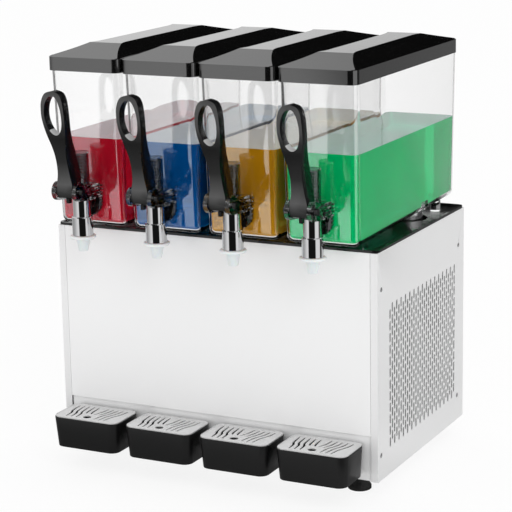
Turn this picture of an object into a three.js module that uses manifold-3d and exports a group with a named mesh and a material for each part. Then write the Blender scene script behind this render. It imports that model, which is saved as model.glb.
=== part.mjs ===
// A four-tank chilled juice dispenser: a sheet-steel cabinet with the cooling set inside,
// four clear tanks with lids and spring-closed taps on top, and a drip tray under each tap.
// Millimetres, +Z up, +X to the right, +Y to the back. The floor is at z = 0.

import * as THREE from 'three';
import { mergeVertices } from 'three/addons/utils/BufferGeometryUtils.js';
import Module from 'manifold-3d';

const wasm = await Module();
wasm.setup();
const { Manifold, Mesh: SolidMesh } = wasm;

// Sizes that the whole dispenser shares
const unit_count = 4;
const unit_pitch = 121.5;
const end_margin = 13; // from the outer stations to the cabinet's sides
const seat_gap = 0.3; // between two pieces that touch
const running_gap = 0.5; // round a piece that slides or turns
const overrun = 2; // how far a cut runs past the face that it opens
const weld = 1e-4; // vertices closer than this are one
const fineness = 0.02; // a vertex that moves a face by less than this is left out
const corner_steps = 2; // facets in a quarter of a round corner

// Cabinet
const cabinet_width = unit_count * unit_pitch + 2 * end_margin;
const cabinet_depth = 336;
const cabinet_height = 330;
const foot_height = 25;
const sheet = 1.2;
const flange_width = 11;
const sheet_lip = 14;

// Tank
const tank_spacing = 5.1; // between two tanks at their tops
const tank_width = unit_pitch - tank_spacing;
const tank_draft = 3.3; // per side, from the top down to the bottom
const tank_front_overhang = 31;
const tank_rear_overhang = 9;
const tank_front_draft = 8;
const tank_rear_draft = 2;
const tank_radius = 12;
const tank_wall = 3;
const tank_floor = 4;
const tank_bottom_radius = 9;
const tank_lift = 10; // tank bottom above the cabinet top, at the front
const tank_floor_rise = 7; // the floor climbs this much to the rear, so it drains to the tap
const tank_height = 224.2;

// Lid
const lid_spacing = 2.9; // between two lids
const lid_width = unit_pitch - lid_spacing;
const lid_front_overlap = 5;
const lid_rear_overlap = 1;
const lid_radius = 12;
const lid_rim = 19.7;
const lid_rise = 14.3; // ridge above the rim
const lid_slope = 68; // length of the slope at each end of the ridge
const lid_scoop = 90; // length over which a finger scoop widens from the corner
const ridge_half = 22;
const lid_skin = 2.5;
const lip_depth = 8;
const lip_wall = 2;

// Cooling drum that stands through each tank's floor
const drum_y = 225;
const drum_radius = 23;
const drum_height = 62; // above the cabinet top
const drum_skin = 1.5;
const drum_skirt = 14; // below the deck's recess
const seal_height = 7;
const seal_lift = 1; // from the tank's floor to the seal
const collar_wall = 3.5;
const collar_edge = 0.4; // from the collar to the outside of the tank's wall
const collar_height = 10;
const collar_gap = 0.3;
const seal_bead = 1.7;
const drum_sides = 10; // shared by the drum and all that fits round it, so their facets line up

// Tap
const tap_reach = 19; // from the tank's front to the spout's middle
const pin_reach = 34; // from the spout's middle to the lever's pin
const pin_rise = 61; // from the tank's bottom to the pin
const stem_drop = 24; // from the pin down to the stem
const spout_drop = 46; // from the stem down to the spout's lower end
const stem_radius = 11;
const stem_bore = 4;
const barrel_radius = 12.4;
const barrel_wall = 2;
const barrel_height = 50.5;
const nut_radius = 21.5;
const nut_ridge = 1.8;
const nut_ridge_count = 9;
const hub_radius = 11;
const hub_half = 13;
const cheek_gap = 0.6;
const cheek_thickness = 6.4;
const cheek_radius = 13.5;
const lever_pull_deg = 18;
const pin_radius = 3;
const lever_reach = 35; // from the pin to the loop's front
const lever_height = 147.5; // above the pin
const loop_half = 18.4; // half the loop's width
const finger_hole_half = 13.7;
const finger_hole_height = 56.6;
const loop_crown = 6.7; // above the finger hole

// Spout
const sleeve_radius = 15;
const sleeve_height = 27.6;
const spout_radius = 12.75;
const spout_height = 26;
const spout_bore = 8;
const rod_radius = 3.2;

// Tip
const tip_flange_radius = 19;
const tip_flange = 4;
const tip_length = 19;
const tip_top_radius = 11;
const tip_end_radius = 7;
const tip_bore = 5;

// Drip tray
const tray_spacing = 12.5; // between two trays
const tray_width = unit_pitch - tray_spacing;
const tray_depth = 70;
const tray_height = 45.7;
const tray_radius = 13;
const tray_wall = 2.4;
const tray_draft = 3;
const tray_rise = 55.2; // from the cabinet's bottom to the tray's rim
const panel_step = 3; // how far the strip behind the trays is set back
const panel_strip = 67; // height of that strip

// Heights and places that follow from the sizes above
const deck_base = foot_height + cabinet_height + seat_gap;
const tank_base = foot_height + cabinet_height + tank_lift;
const tank_top = tank_base + tank_height;
const lid_base = tank_top + seat_gap;
const rim_top = lid_base + lid_rim;
const half_width = cabinet_width / 2;
const cabinet_top = foot_height + cabinet_height;
const tank_front = -tank_front_overhang;
const tank_rear = cabinet_depth + tank_rear_overhang;
const lid_front = tank_front - lid_front_overlap;
const lid_rear = tank_rear + lid_rear_overlap;
const collar_radius = drum_radius + seal_bead + collar_gap;
const drum_x = tank_width / 2 - tank_draft - collar_radius - collar_wall - collar_edge;
const tap_y = tank_front - tap_reach;
const pin_y = tap_y - pin_reach;
const pin_z = tank_base + pin_rise;
const stem_z = pin_z - stem_drop;
const tray_top_z = foot_height + tray_rise;

// Materials
function finish(name, color, roughness, metalness, opacity = 1) {
  const material = new THREE.MeshStandardMaterial({ color, roughness, metalness });
  material.name = name;
  material.opacity = opacity;
  material.transparent = opacity < 1;
  return material;
}
const materials = {
  brushed_steel: finish('brushed_steel', 0xd9dadb, 0.28, 1),
  clear_plastic: finish('clear_plastic', 0xeef4f5, 0.06, 0, 0.3),
  gloss_black: finish('gloss_black', 0x0c0c0d, 0.18, 0),
  black_plastic: finish('black_plastic', 0x151516, 0.5, 0),
  foot_rubber: finish('foot_rubber', 0x121212, 0.7, 0),
  chrome: finish('chrome', 0xc9ccce, 0.08, 1),
  white_plastic: finish('white_plastic', 0xf1f1ef, 0.4, 0),
  grid_steel: finish('grid_steel', 0xc4c5c6, 0.35, 0.9),
  drum_steel: finish('drum_steel', 0xd3d5d6, 0.22, 1),
  spring_steel: finish('spring_steel', 0xb8babc, 0.25, 1),
  compressor_black: finish('compressor_black', 0x1b1c1e, 0.45, 0.4),
  coil_aluminium: finish('coil_aluminium', 0xaeb2b5, 0.4, 0.9),
};

// Solids
function solid(geometry) {
  const plain = geometry.index ? geometry.clone() : geometry;
  for (const name of Object.keys(plain.attributes)) {
    if (name !== 'position') plain.deleteAttribute(name);
  }
  const merged = mergeVertices(plain, weld);
  const place = merged.attributes.position;
  const corners = [];
  let volume = 0;
  for (let i = 0; i < merged.index.count; i += 3) {
    const [a, b, c] = [0, 1, 2].map((k) => merged.index.getX(i + k));
    if (a === b || b === c || c === a) continue;
    corners.push(a, b, c);
    const [p, q, r] = [a, b, c].map((k) => new THREE.Vector3().fromBufferAttribute(place, k));
    volume += p.dot(q.cross(r));
  }
  if (volume < 0) corners.reverse();
  return new Manifold(new SolidMesh({
    numProp: 3,
    vertProperties: new Float32Array(place.array),
    triVerts: new Uint32Array(corners),
  }));
}

function geometry_of(body) {
  const mesh = body.simplify(fineness).getMesh();
  const geometry = new THREE.BufferGeometry();
  geometry.setAttribute('position', new THREE.BufferAttribute(new Float32Array(mesh.vertProperties), 3));
  geometry.setIndex(new THREE.BufferAttribute(new Uint32Array(mesh.triVerts), 1));
  return geometry;
}

const joined = (bodies) => bodies.reduce((whole, next) => whole.add(next));
const cut = (body, tools) => tools.reduce((rest, tool) => rest.subtract(tool), body);

// A block between two corners
function block(x0, x1, y0, y1, z0, z1) {
  const box = new THREE.BoxGeometry(x1 - x0, y1 - y0, z1 - z0);
  box.translate((x0 + x1) / 2, (y0 + y1) / 2, (z0 + z1) / 2);
  return solid(box);
}

// A round bar along x, y or z; at holds its centre in the other two directions
function bar(axis, radius, from, to, at, sides = 12) {
  const round = new THREE.CylinderGeometry(radius, radius, to - from, sides);
  const middle = (from + to) / 2;
  if (axis === 'x') round.rotateZ(Math.PI / 2).translate(middle, at[0], at[1]);
  if (axis === 'y') round.translate(at[0], middle, at[1]);
  if (axis === 'z') round.rotateX(Math.PI / 2).translate(at[0], at[1], middle);
  return solid(round);
}

// A turned solid about a vertical line; the profile lists [radius, z]
function turned(profile, at, sides) {
  const points = profile.map(([radius, z]) => new THREE.Vector2(radius, z));
  const lathe = new THREE.LatheGeometry(points, sides);
  lathe.rotateX(Math.PI / 2).translate(at[0], at[1], 0);
  return solid(lathe);
}

// An outline pushed along an axis: its points are (y, z), (x, z) or (x, y)
function prism(axis, outline, from, to) {
  const points = outline.map((p) => (p.isVector2 ? p : new THREE.Vector2(p[0], p[1])));
  const face = new THREE.Shape(points);
  const pushed = new THREE.ExtrudeGeometry(face, { depth: to - from, bevelEnabled: false });
  const turn = new THREE.Matrix4();
  const [x, y, z] = [new THREE.Vector3(1, 0, 0), new THREE.Vector3(0, 1, 0), new THREE.Vector3(0, 0, 1)];
  if (axis === 'x') pushed.applyMatrix4(turn.makeBasis(y, z, x)).translate(from, 0, 0);
  if (axis === 'y') pushed.applyMatrix4(turn.makeBasis(x, z, y.clone().negate())).translate(0, to, 0);
  if (axis === 'z') pushed.translate(0, 0, from);
  return solid(pushed);
}

// A closed skin through level rings of equal count, flat at both ends
function loft(rings) {
  const count = rings[0].length;
  const top = (rings.length - 1) * count;
  const index = [];
  for (let level = 0; level < rings.length - 1; level += 1) {
    for (let i = 0; i < count; i += 1) {
      const a = level * count + i;
      const b = level * count + ((i + 1) % count);
      index.push(a, b, b + count, a, b + count, a + count);
    }
  }
  for (let i = 1; i < count - 1; i += 1) {
    index.push(0, i + 1, i, top, top + i, top + i + 1);
  }
  const geometry = new THREE.BufferGeometry();
  geometry.setAttribute('position', new THREE.Float32BufferAttribute(rings.flat(2), 3));
  geometry.setIndex(index);
  return solid(geometry);
}

// A rectangle with round corners, counter-clockwise, as [x, y] points
function rounded(half, front, rear, radius) {
  const [x, y0, y1] = [half - radius, front + radius, rear - radius];
  const corners = [[x, y1], [-x, y1], [-x, y0], [x, y0]];
  return corners.flatMap(([cx, cy], quarter) => (
    Array.from({ length: corner_steps + 1 }, (_, i) => {
      const angle = (quarter + i / corner_steps) * Math.PI / 2;
      return [cx + radius * Math.cos(angle), cy + radius * Math.sin(angle)];
    })
  ));
}

// The outline of bent sheet: the path, and the path again one thickness to its left
function bent_sheet(path, thickness) {
  const points = path.map(([u, v]) => new THREE.Vector2(u, v));
  const inner = points.map((point, i) => {
    const before = points[Math.max(i - 1, 0)];
    const after = points[Math.min(i + 1, points.length - 1)];
    const into = i > 0 ? point.clone().sub(before).normalize() : after.clone().sub(point).normalize();
    const out = i < points.length - 1 ? after.clone().sub(point).normalize() : into;
    const shift = new THREE.Vector2(-into.y, into.x);
    if (Math.abs(into.dot(out)) < 0.5) shift.add(new THREE.Vector2(-out.y, out.x));
    return point.clone().addScaledVector(shift, thickness);
  });
  return points.concat(inner.reverse());
}

// The object and its four stations
const dispenser = new THREE.Group();
const depth_centre = (pin_y - lever_reach + lid_rear) / 2;
dispenser.position.y = -depth_centre;
const stations = Array.from({ length: unit_count }, (_, i) => {
  const station = new THREE.Group();
  station.position.x = (i - (unit_count - 1) / 2) * unit_pitch;
  dispenser.add(station);
  return station;
});

function piece(name, body, material, parent = dispenser) {
  const geometry = body.isBufferGeometry ? body : geometry_of(body);
  const mesh = new THREE.Mesh(geometry, material);
  mesh.name = name;
  parent.add(mesh);
  return mesh;
}

// One copy of a piece at each station, numbered from the left
function at_each_station(name, body, material) {
  const geometry = body.isBufferGeometry ? body : geometry_of(body);
  stations.forEach((station, i) => piece(`${name}_${i + 1}`, geometry, material, station));
}

// Tank: a clear tapered box with round corners, a sloping floor, four legs, a collar round the
// cooling drum and a hole for the tap's stem
function tank_ring(level, inset, lower) {
  const share = (level - tank_base) / tank_height;
  const half = tank_width / 2 - tank_draft * (1 - share) - inset;
  const front = tank_front + tank_front_draft * (1 - share) + inset;
  const rear = tank_rear - tank_rear_draft * (1 - share) - inset;
  const radius = Math.max(tank_radius - inset, tank_wall);
  const climb = (y) => (lower * tank_floor_rise * (y - tank_front)) / (tank_rear - tank_front);
  return rounded(half, front, rear, radius).map(([x, y]) => [x, y, level + climb(y)]);
}

function tank_skin(inset, bottom, top) {
  const bend = Math.max(tank_bottom_radius - inset, tank_wall);
  const rings = Array.from({ length: corner_steps + 1 }, (_, step) => {
    const angle = (step / corner_steps) * (Math.PI / 2);
    const drawn_in = bend * (1 - Math.sin(angle));
    return tank_ring(bottom + bend * (1 - Math.cos(angle)), inset + drawn_in, 1);
  });
  return loft([...rings, tank_ring(top, inset, 0)]);
}

const floor_at = (y) => tank_base + (tank_floor_rise * (y - tank_front)) / (tank_rear - tank_front);
const seal_z = floor_at(drum_y) + tank_floor + seal_lift;
const leg_radius = 7.5;
const front_leg_radius = 3.5;
const leg_inset = 11;
const leg_setback = 60;
const front_leg_y = 12;
const rear_leg_y = tank_rear - leg_setback;
const deck_skin = 1.8;
const deck_floor = deck_base + deck_skin;

function tank() {
  const inside = tank_skin(tank_wall, tank_base + tank_floor, tank_top + overrun);
  const leg = (x, y, radius, sides) => (
    bar('z', radius, deck_floor + seat_gap, floor_at(y) + tank_floor / 2, [x, y], sides)
  );
  const leg_x = tank_width / 2 - leg_inset;
  const front_x = leg_x + front_leg_radius;
  const body = joined([
    tank_skin(0, tank_base, tank_top).subtract(inside),
    bar('z', collar_radius + collar_wall, floor_at(drum_y) + tank_floor / 2,
      floor_at(drum_y) + tank_floor + collar_height, [drum_x, drum_y], drum_sides),
    leg(-leg_x, rear_leg_y, leg_radius, 6),
    leg(leg_x, rear_leg_y, leg_radius, 6),
    leg(-front_x, front_leg_y, front_leg_radius, 6),
    leg(front_x, front_leg_y, front_leg_radius, 6),
  ]);
  return cut(body, [
    bar('z', collar_radius, tank_base - overrun, seal_z + collar_height + overrun, [drum_x, drum_y],
      drum_sides),
    bar('y', stem_radius + seat_gap, tank_front - overrun, tank_front + tank_front_draft + tank_wall * 2,
      [0, stem_z], 10),
  ]);
}
at_each_station('tank', tank(), materials.clear_plastic);

// Lid: a rim with a long ridge to hold it by and a finger scoop along each side of the ridge
const scoop_curve_shares = [1, 0.5, 0.18, 0]; // across a scoop, from the rim to the ridge
const scoop_bend_power = 2.6;
const scoop_spread_power = 1.5;
const slope_stop_shares = [0.27, 0.48, 0.75, 1]; // of the scoop's length

function lid_half_at(depth) {
  const into = Math.max(lid_radius - depth, 0);
  return lid_width / 2 - lid_radius + Math.sqrt(lid_radius ** 2 - into ** 2);
}

function lid_row(y) {
  const depth = Math.min(y - lid_front, lid_rear - y);
  const edge = lid_half_at(depth);
  const height = lid_rise * Math.min(depth / lid_slope, 1);
  const spread = Math.max(1 - depth / lid_scoop, 0) ** scoop_spread_power;
  const ridge = Math.min(ridge_half + (lid_width / 2 - ridge_half) * spread, edge - lip_wall);
  const side = scoop_curve_shares.map((share) => (
    [ridge + (edge - ridge) * share, y, rim_top + height * (1 - share) ** scoop_bend_power]
  ));
  return [...side, ...side.map(([x, , z]) => [-x, y, z]).reverse()];
}

function lid_top() {
  const corner = Array.from({ length: corner_steps + 1 }, (_, step) => (
    lid_radius * (1 - Math.cos((step / corner_steps) * (Math.PI / 2)))
  ));
  const stops = slope_stop_shares.map((share) => lid_scoop * share);
  const front = [...corner, ...stops].map((depth) => lid_front + depth);
  const rear = front.map((y) => lid_front + lid_rear - y).reverse();
  const rows = [...front, ...rear].map(lid_row);
  const across = rows[0].length;
  const top = rows.flat();
  const index = [];
  for (let r = 0; r < rows.length - 1; r += 1) {
    for (let i = 0; i < across - 1; i += 1) {
      const a = r * across + i;
      index.push(a, a + across, a + 1, a + 1, a + across, a + across + 1);
    }
  }
  const last = (rows.length - 1) * across;
  const edge = [
    ...rows[0].map((_, i) => i),
    ...rows.slice(1, -1).map((_, r) => (r + 2) * across - 1),
    ...rows[0].map((_, i) => last + across - 1 - i),
    ...rows.slice(1, -1).map((_, r) => last - (r + 1) * across),
  ];
  const skirt = edge.map((i) => [top[i][0], top[i][1], lid_base]);
  const start = top.length;
  const middle = start + skirt.length;
  edge.forEach((corner_index, i) => {
    const next = (i + 1) % edge.length;
    index.push(corner_index, edge[next], start + next, corner_index, start + next, start + i);
    index.push(middle, start + i, start + next);
  });
  const positions = [...top, ...skirt, [0, (lid_front + lid_rear) / 2, lid_base]];
  const geometry = new THREE.BufferGeometry();
  geometry.setAttribute('position', new THREE.Float32BufferAttribute(positions.flat(), 3));
  geometry.setIndex(index);
  return solid(geometry);
}

function lid() {
  const under = rim_top - lid_skin;
  const level = (half, front, rear, radius, z) => (
    rounded(half, front, rear, radius).map(([x, y]) => [x, y, z])
  );
  const ring = (half, front, rear, radius, z0, z1) => (
    loft([level(half, front, rear, radius, z0), level(half, front, rear, radius, z1)])
  );
  const hollow = ring(lid_width / 2 - lid_skin, lid_front + lid_skin, lid_rear - lid_skin,
    lid_radius - lid_skin, lid_base - overrun, under);
  const grip_half = ridge_half - lid_skin;
  const grip = block(-grip_half, grip_half, lid_front + lid_slope + lid_skin, lid_rear - lid_slope - lid_skin,
    under - overrun, rim_top + lid_rise - lid_skin);
  const lip_edge = tank_wall + seat_gap;
  const lip = (inset, z0, z1) => ring(tank_width / 2 - lip_edge - inset, tank_front + lip_edge + inset,
    tank_rear - lip_edge - inset, tank_radius - tank_wall, z0, z1);
  const rib = lip(0, lid_base - lip_depth, under + lid_skin / 2)
    .subtract(lip(lip_wall, lid_base - lip_depth - overrun, under + lid_skin));
  return cut(lid_top(), [hollow, grip]).add(rib);
}
at_each_station('lid', lid(), materials.gloss_black);

// Tap body: a clear barrel for the spring, two cheeks that hold the lever's pin, and a stem with
// a ridged nut that clamps it to the tank
const cheek_inner = hub_half + cheek_gap;
const cheek_outer = cheek_inner + cheek_thickness;
const spout_base = stem_z - spout_drop;
const spout_top = spout_base + sleeve_height + spout_height;
const plate_thickness = 3;
const plate_z = spout_top + seat_gap;
const barrel_rise = 1; // from the pin's middle to the barrel's lower end
const barrel_z = pin_z + barrel_rise;
const barrel_top = barrel_z + barrel_height;
const plate_reach = 6; // behind the spout
const plate_rear = tap_y + spout_radius + plate_reach;
const cheek_turn_shares = [0.42, 1.5]; // of half a turn, where the cheek's round edge starts and ends
const prong_inner = 4.4;
const prong_outer = 8.6;
const prong_reach = 37;
const prong_top = 2.5;
const prong_thickness = 4.5;
const nut_rear = tank_front + tank_front_draft * (1 - (stem_z - tank_base) / tank_height) - seat_gap * 3;

function tap_body() {
  const cheek = new THREE.Shape();
  const cheek_rear = [plate_rear, barrel_z + plate_thickness];
  cheek.moveTo(plate_rear, plate_z);
  cheek.lineTo(cheek_rear[0], cheek_rear[1]);
  cheek.lineTo(tap_y - barrel_radius, cheek_rear[1] + plate_thickness);
  const [round_from, round_to] = cheek_turn_shares.map((share) => share * Math.PI);
  cheek.absarc(pin_y, pin_z, cheek_radius, round_from, round_to, false);
  cheek.lineTo(tap_y - barrel_radius, plate_z);
  const outline = cheek.getPoints(3);
  const ridges = Array.from({ length: nut_ridge_count * 2 }, (_, i) => {
    const angle = (i / (nut_ridge_count * 2)) * Math.PI * 2;
    const radius = i % 2 ? nut_radius : nut_radius - nut_ridge;
    return [radius * Math.cos(angle), stem_z + radius * Math.sin(angle)];
  });
  const nut_front = tap_y + sleeve_radius + seat_gap;
  const tank_inside = nut_rear + seat_gap * 6 + tank_wall;
  const solid_parts = joined([
    bar('z', barrel_radius, barrel_z, barrel_top, [0, tap_y], 10),
    prism('x', outline, cheek_inner, cheek_outer),
    prism('x', outline, -cheek_outer, -cheek_inner),
    block(-cheek_outer, cheek_outer, tap_y - barrel_radius, plate_rear, plate_z, plate_z + plate_thickness),
    block(-cheek_outer, cheek_outer, tap_y - barrel_radius, plate_rear, barrel_z, barrel_z + plate_thickness),
    block(-cheek_outer, cheek_outer, plate_rear - plate_thickness, plate_rear, plate_z, barrel_z + overrun),
    bar('y', stem_radius, tap_y, tank_inside + plate_thickness, [0, stem_z], 10),
    bar('y', stem_radius + plate_thickness, tank_inside, tank_inside + plate_thickness, [0, stem_z], 10),
    prism('y', ridges, nut_front, nut_rear),
  ]);
  const bore = barrel_radius - barrel_wall;
  const prong_room = prong_outer + running_gap * 2;
  return cut(solid_parts, [
    bar('z', bore, barrel_z - overrun, barrel_top - barrel_wall, [0, tap_y], 10),
    bar('z', spout_radius + seat_gap, spout_base - overrun, spout_top + seat_gap, [0, tap_y], 12),
    bar('z', rod_radius + running_gap, plate_z - overrun, barrel_z, [0, tap_y], 8),
    block(-prong_room, prong_room, tap_y - barrel_radius - overrun, tap_y, plate_z + plate_thickness,
      pin_z + prong_reach * Math.sin(THREE.MathUtils.degToRad(lever_pull_deg)) + overrun),
    bar('x', pin_radius + seat_gap, -cheek_outer - overrun, cheek_outer + overrun, [pin_y, pin_z], 8),
    bar('y', stem_bore, tap_y, tank_inside + plate_thickness + overrun, [0, stem_z], 6),
  ]);
}

at_each_station('tap_body', tap_body(), materials.clear_plastic);

// Lever: the loop, neck and hub seen from the front, crossed with its S shape seen from the side.
// Each outline lists shares: across, of the loop's half width or of the lever's reach, and up, of
// the lever's height
const lever_edge_shares = [
  [0.53, 0.18], [0.485, 0.33], [0.6, 0.45], [0.83, 0.575], [0.98, 0.7], [1, 0.8], [0.9, 0.905], [0.6, 0.975],
  [0, 1],
];
const lever_front_shares = [
  [-0.28, 0.08], [-0.4, 0.285], [-0.57, 0.435], [-0.785, 0.6], [-0.94, 0.745], [-1, 0.87], [-0.975, 1.01],
];
const lever_rear_shares = [
  [-0.55, 1.01], [-0.57, 0.87], [-0.53, 0.745], [-0.37, 0.61], [0.2, 0.395], [0.43, 0.25], [0.485, 0.135],
  [0.385, 0.047],
];
const hub_top = 8; // the hub's full width ends here, above the pin
const finger_hole_sides = 12;
const tab_half = 2.5;
const tab_front = 3;
const tab_rear = 4;
const tab_drop = 17; // from the pin to the tab's lower end
const pin_head_radius = 4.8;
const pin_head_height = 4.6;

function lever_outline() {
  const edge = lever_edge_shares.map(([across, up]) => [across * loop_half, pin_z + up * lever_height]);
  const hub_low = pin_z - hub_radius;
  const half = [[0, hub_low], [hub_half, hub_low], [hub_half, pin_z + hub_top], ...edge];
  return [...half, ...half.slice(1, -1).map(([x, z]) => [-x, z]).reverse()];
}

function lever_profile() {
  const placed = (shares) => shares.map(([along, up]) => (
    [pin_y + along * lever_reach, pin_z + up * lever_height]
  ));
  const hub = [0, 1, 2, 3, 4].map((eighth) => {
    const angle = (eighth * Math.PI) / 4;
    return [pin_y + hub_radius * Math.cos(angle), pin_z - hub_radius * Math.sin(angle)];
  });
  return [...hub, ...placed(lever_front_shares), ...placed(lever_rear_shares)];
}

function finger_hole() {
  const middle = pin_z + lever_height - loop_crown - finger_hole_height / 2;
  return Array.from({ length: finger_hole_sides }, (_, i) => {
    const angle = (i / finger_hole_sides) * Math.PI * 2;
    return [finger_hole_half * Math.cos(angle), middle + (finger_hole_height / 2) * Math.sin(angle)];
  });
}

function lever() {
  const [depth_from, depth_to] = [pin_y - lever_reach - overrun, pin_y + lever_reach + overrun];
  const front = prism('y', lever_outline(), depth_from, depth_to);
  const profile = prism('x', lever_profile(), -cheek_outer, cheek_outer);
  const hole = prism('y', finger_hole(), depth_from - overrun, depth_to + overrun);
  const prong_z = pin_z + prong_top;
  const prong = (x0, x1) => block(x0, x1, pin_y, pin_y + prong_reach, prong_z - prong_thickness, prong_z);
  const head = cheek_outer + cheek_gap;
  const head_end = head + pin_head_height;
  return joined([
    front.intersect(profile).subtract(hole),
    prong(prong_inner, prong_outer),
    prong(-prong_outer, -prong_inner),
    block(-tab_half, tab_half, pin_y - tab_front, pin_y + tab_rear, pin_z - tab_drop, pin_z - hub_radius / 2),
    bar('x', pin_radius, -head, head, [pin_y, pin_z], 8),
    bar('x', pin_head_radius, head - seat_gap, head_end, [pin_y, pin_z], 8),
    bar('x', pin_head_radius, -head_end, -head + seat_gap, [pin_y, pin_z], 8),
  ]);
}
at_each_station('lever', lever(), materials.gloss_black);

// Plunger: the rod that the lever's prongs lift, with its collar and the stopper at its foot
const collar_z = pin_z + prong_top + seat_gap;
const plunger_collar = 3;
const plunger_collar_radius = barrel_radius - barrel_wall - running_gap * 2;
const stopper_height = 10;
const stopper_lift = 5; // above the spout's lower end
const stopper_taper = 3;
const rod_above_collar = 14;
const stopper_z = spout_base + stopper_lift;
const rod_tip = collar_z + plunger_collar + rod_above_collar;

function plunger() {
  const stopper_radius = spout_bore - running_gap;
  return turned([
    [0, stopper_z], [stopper_radius, stopper_z], [stopper_radius, stopper_z + stopper_height],
    [rod_radius, stopper_z + stopper_height + stopper_taper], [rod_radius, collar_z],
    [plunger_collar_radius, collar_z],
    [plunger_collar_radius, collar_z + plunger_collar], [rod_radius, collar_z + plunger_collar],
    [rod_radius, rod_tip], [0, rod_tip],
  ], [0, tap_y], 8);
}
at_each_station('plunger', plunger(), materials.white_plastic);

// Spring: one wire wound from the plunger's collar to the barrel's cap
const spring_turns = 6;
const spring_wire = 0.8; // radius
const spring_coil = 7.2; // radius of the wire's middle
const spring_low = collar_z + plunger_collar + seat_gap + spring_wire;
const spring_high = barrel_top - barrel_wall - seat_gap - spring_wire;
const steps_per_turn = 8;
const wire_sides = 5;

function spring_path() {
  const steps = spring_turns * steps_per_turn;
  const points = Array.from({ length: steps + 1 }, (_, i) => {
    const angle = (i / steps_per_turn) * Math.PI * 2;
    const z = spring_low + ((spring_high - spring_low) * i) / steps;
    return new THREE.Vector3(spring_coil * Math.cos(angle), tap_y + spring_coil * Math.sin(angle), z);
  });
  const lead = spring_wire * 2;
  const start = points[0].clone().add(new THREE.Vector3(0, -lead, 0));
  const end = points[steps].clone().add(new THREE.Vector3(0, lead, 0));
  return [start, ...points, end];
}

function spring() {
  const path = spring_path();
  const positions = [];
  const index = [];
  path.forEach((point, i) => {
    const along = path[Math.min(i + 1, path.length - 1)].clone().sub(path[Math.max(i - 1, 0)]).normalize();
    const out = new THREE.Vector3(point.x, point.y - tap_y, 0).normalize();
    const across = along.clone().cross(out).normalize();
    const outward = across.clone().cross(along).normalize();
    for (let k = 0; k < wire_sides; k += 1) {
      const angle = (k / wire_sides) * Math.PI * 2;
      const rim = point.clone().addScaledVector(outward, spring_wire * Math.cos(angle))
        .addScaledVector(across, spring_wire * Math.sin(angle));
      positions.push(rim.x, rim.y, rim.z);
    }
  });
  for (let i = 0; i < path.length - 1; i += 1) {
    for (let k = 0; k < wire_sides; k += 1) {
      const a = i * wire_sides + k;
      const b = i * wire_sides + ((k + 1) % wire_sides);
      index.push(a, b, b + wire_sides, a, b + wire_sides, a + wire_sides);
    }
  }
  const last = (path.length - 1) * wire_sides;
  for (let k = 1; k < wire_sides - 1; k += 1) {
    index.push(0, k + 1, k, last, last + k, last + k + 1);
  }
  const geometry = new THREE.BufferGeometry();
  geometry.setAttribute('position', new THREE.Float32BufferAttribute(positions, 3));
  geometry.setIndex(index);
  return solid(geometry);
}

function least_spring_gap() {
  const path = spring_path();
  let least = Infinity;
  path.forEach((point, i) => {
    path.slice(i + steps_per_turn / 2).forEach((other) => {
      least = Math.min(least, point.distanceTo(other));
    });
  });
  return least - spring_wire * 2;
}
console.log(`least gap between spring curls ${least_spring_gap().toFixed(2)} mm`);
at_each_station('spring', spring(), materials.spring_steel);

// Spout: a turned tube with a wider sleeve, a bore for the stopper and a side port for the stem
const spout_cap = 3.2; // thickness at its upper end

function spout() {
  const step_z = spout_base + sleeve_height;
  const tube = turned([
    [spout_bore, spout_base], [sleeve_radius, spout_base], [sleeve_radius, step_z], [spout_radius, step_z],
    [spout_radius, spout_top], [rod_radius + running_gap, spout_top],
    [rod_radius + running_gap, spout_top - spout_cap], [spout_bore, spout_top - spout_cap],
    [spout_bore, spout_base],
  ], [0, tap_y], 12);
  return tube.subtract(bar('y', stem_bore, tap_y, tap_y + spout_radius + overrun, [0, stem_z], 6));
}
at_each_station('spout', spout(), materials.chrome);

// Tip: a flange under the sleeve and a short cone that guides the juice
const tip_neck = 4.6; // up into the spout

function spout_tip() {
  const flange_top = spout_base - seat_gap;
  const flange_low = flange_top - tip_flange;
  const tip_low = flange_low - tip_length;
  const neck = spout_bore - seat_gap;
  return turned([
    [tip_bore, tip_low], [tip_end_radius, tip_low], [tip_top_radius, flange_low],
    [tip_flange_radius, flange_low], [tip_flange_radius, flange_top],
    [neck, flange_top], [neck, flange_top + tip_neck], [tip_bore, flange_top + tip_neck], [tip_bore, tip_low],
  ], [0, tap_y], 12);
}
at_each_station('spout_tip', spout_tip(), materials.white_plastic);

// Stirrer that turns on the drum's pin, driven by a magnet through the drum
const drum_top = cabinet_top + drum_height;
const drum_pin_radius = 2.2;
const drum_pin_height = 7;
const blade_count = 3;
const blade_half = 1;
const blade_inset = 1;
const blade_turn_deg = 15;
const stirrer_radius = 17.5;
const stirrer_disc_radius = 16;
const stirrer_height = 9;
const stirrer_disc = 1.6;
const stirrer_hub = 5.5;

function stirrer() {
  const low = drum_top + seat_gap;
  const bore = drum_pin_radius + running_gap;
  const disc_top = low + stirrer_disc;
  const hub = turned([
    [bore, low], [stirrer_disc_radius, low], [stirrer_disc_radius, disc_top], [stirrer_hub, disc_top],
    [stirrer_hub, low + stirrer_height], [bore, low + stirrer_height], [bore, low],
  ], [0, 0], 8);
  const blade = block(stirrer_hub - blade_inset, stirrer_radius, -blade_half, blade_half, low + blade_inset,
    low + stirrer_height - blade_inset);
  const blades = Array.from({ length: blade_count }, (_, i) => (
    blade.rotate([0, 0, (i * 360) / blade_count + blade_turn_deg])
  ));
  return joined([hub, ...blades]).translate([drum_x, drum_y, 0]);
}
at_each_station('stirrer', stirrer(), materials.white_plastic);

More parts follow.
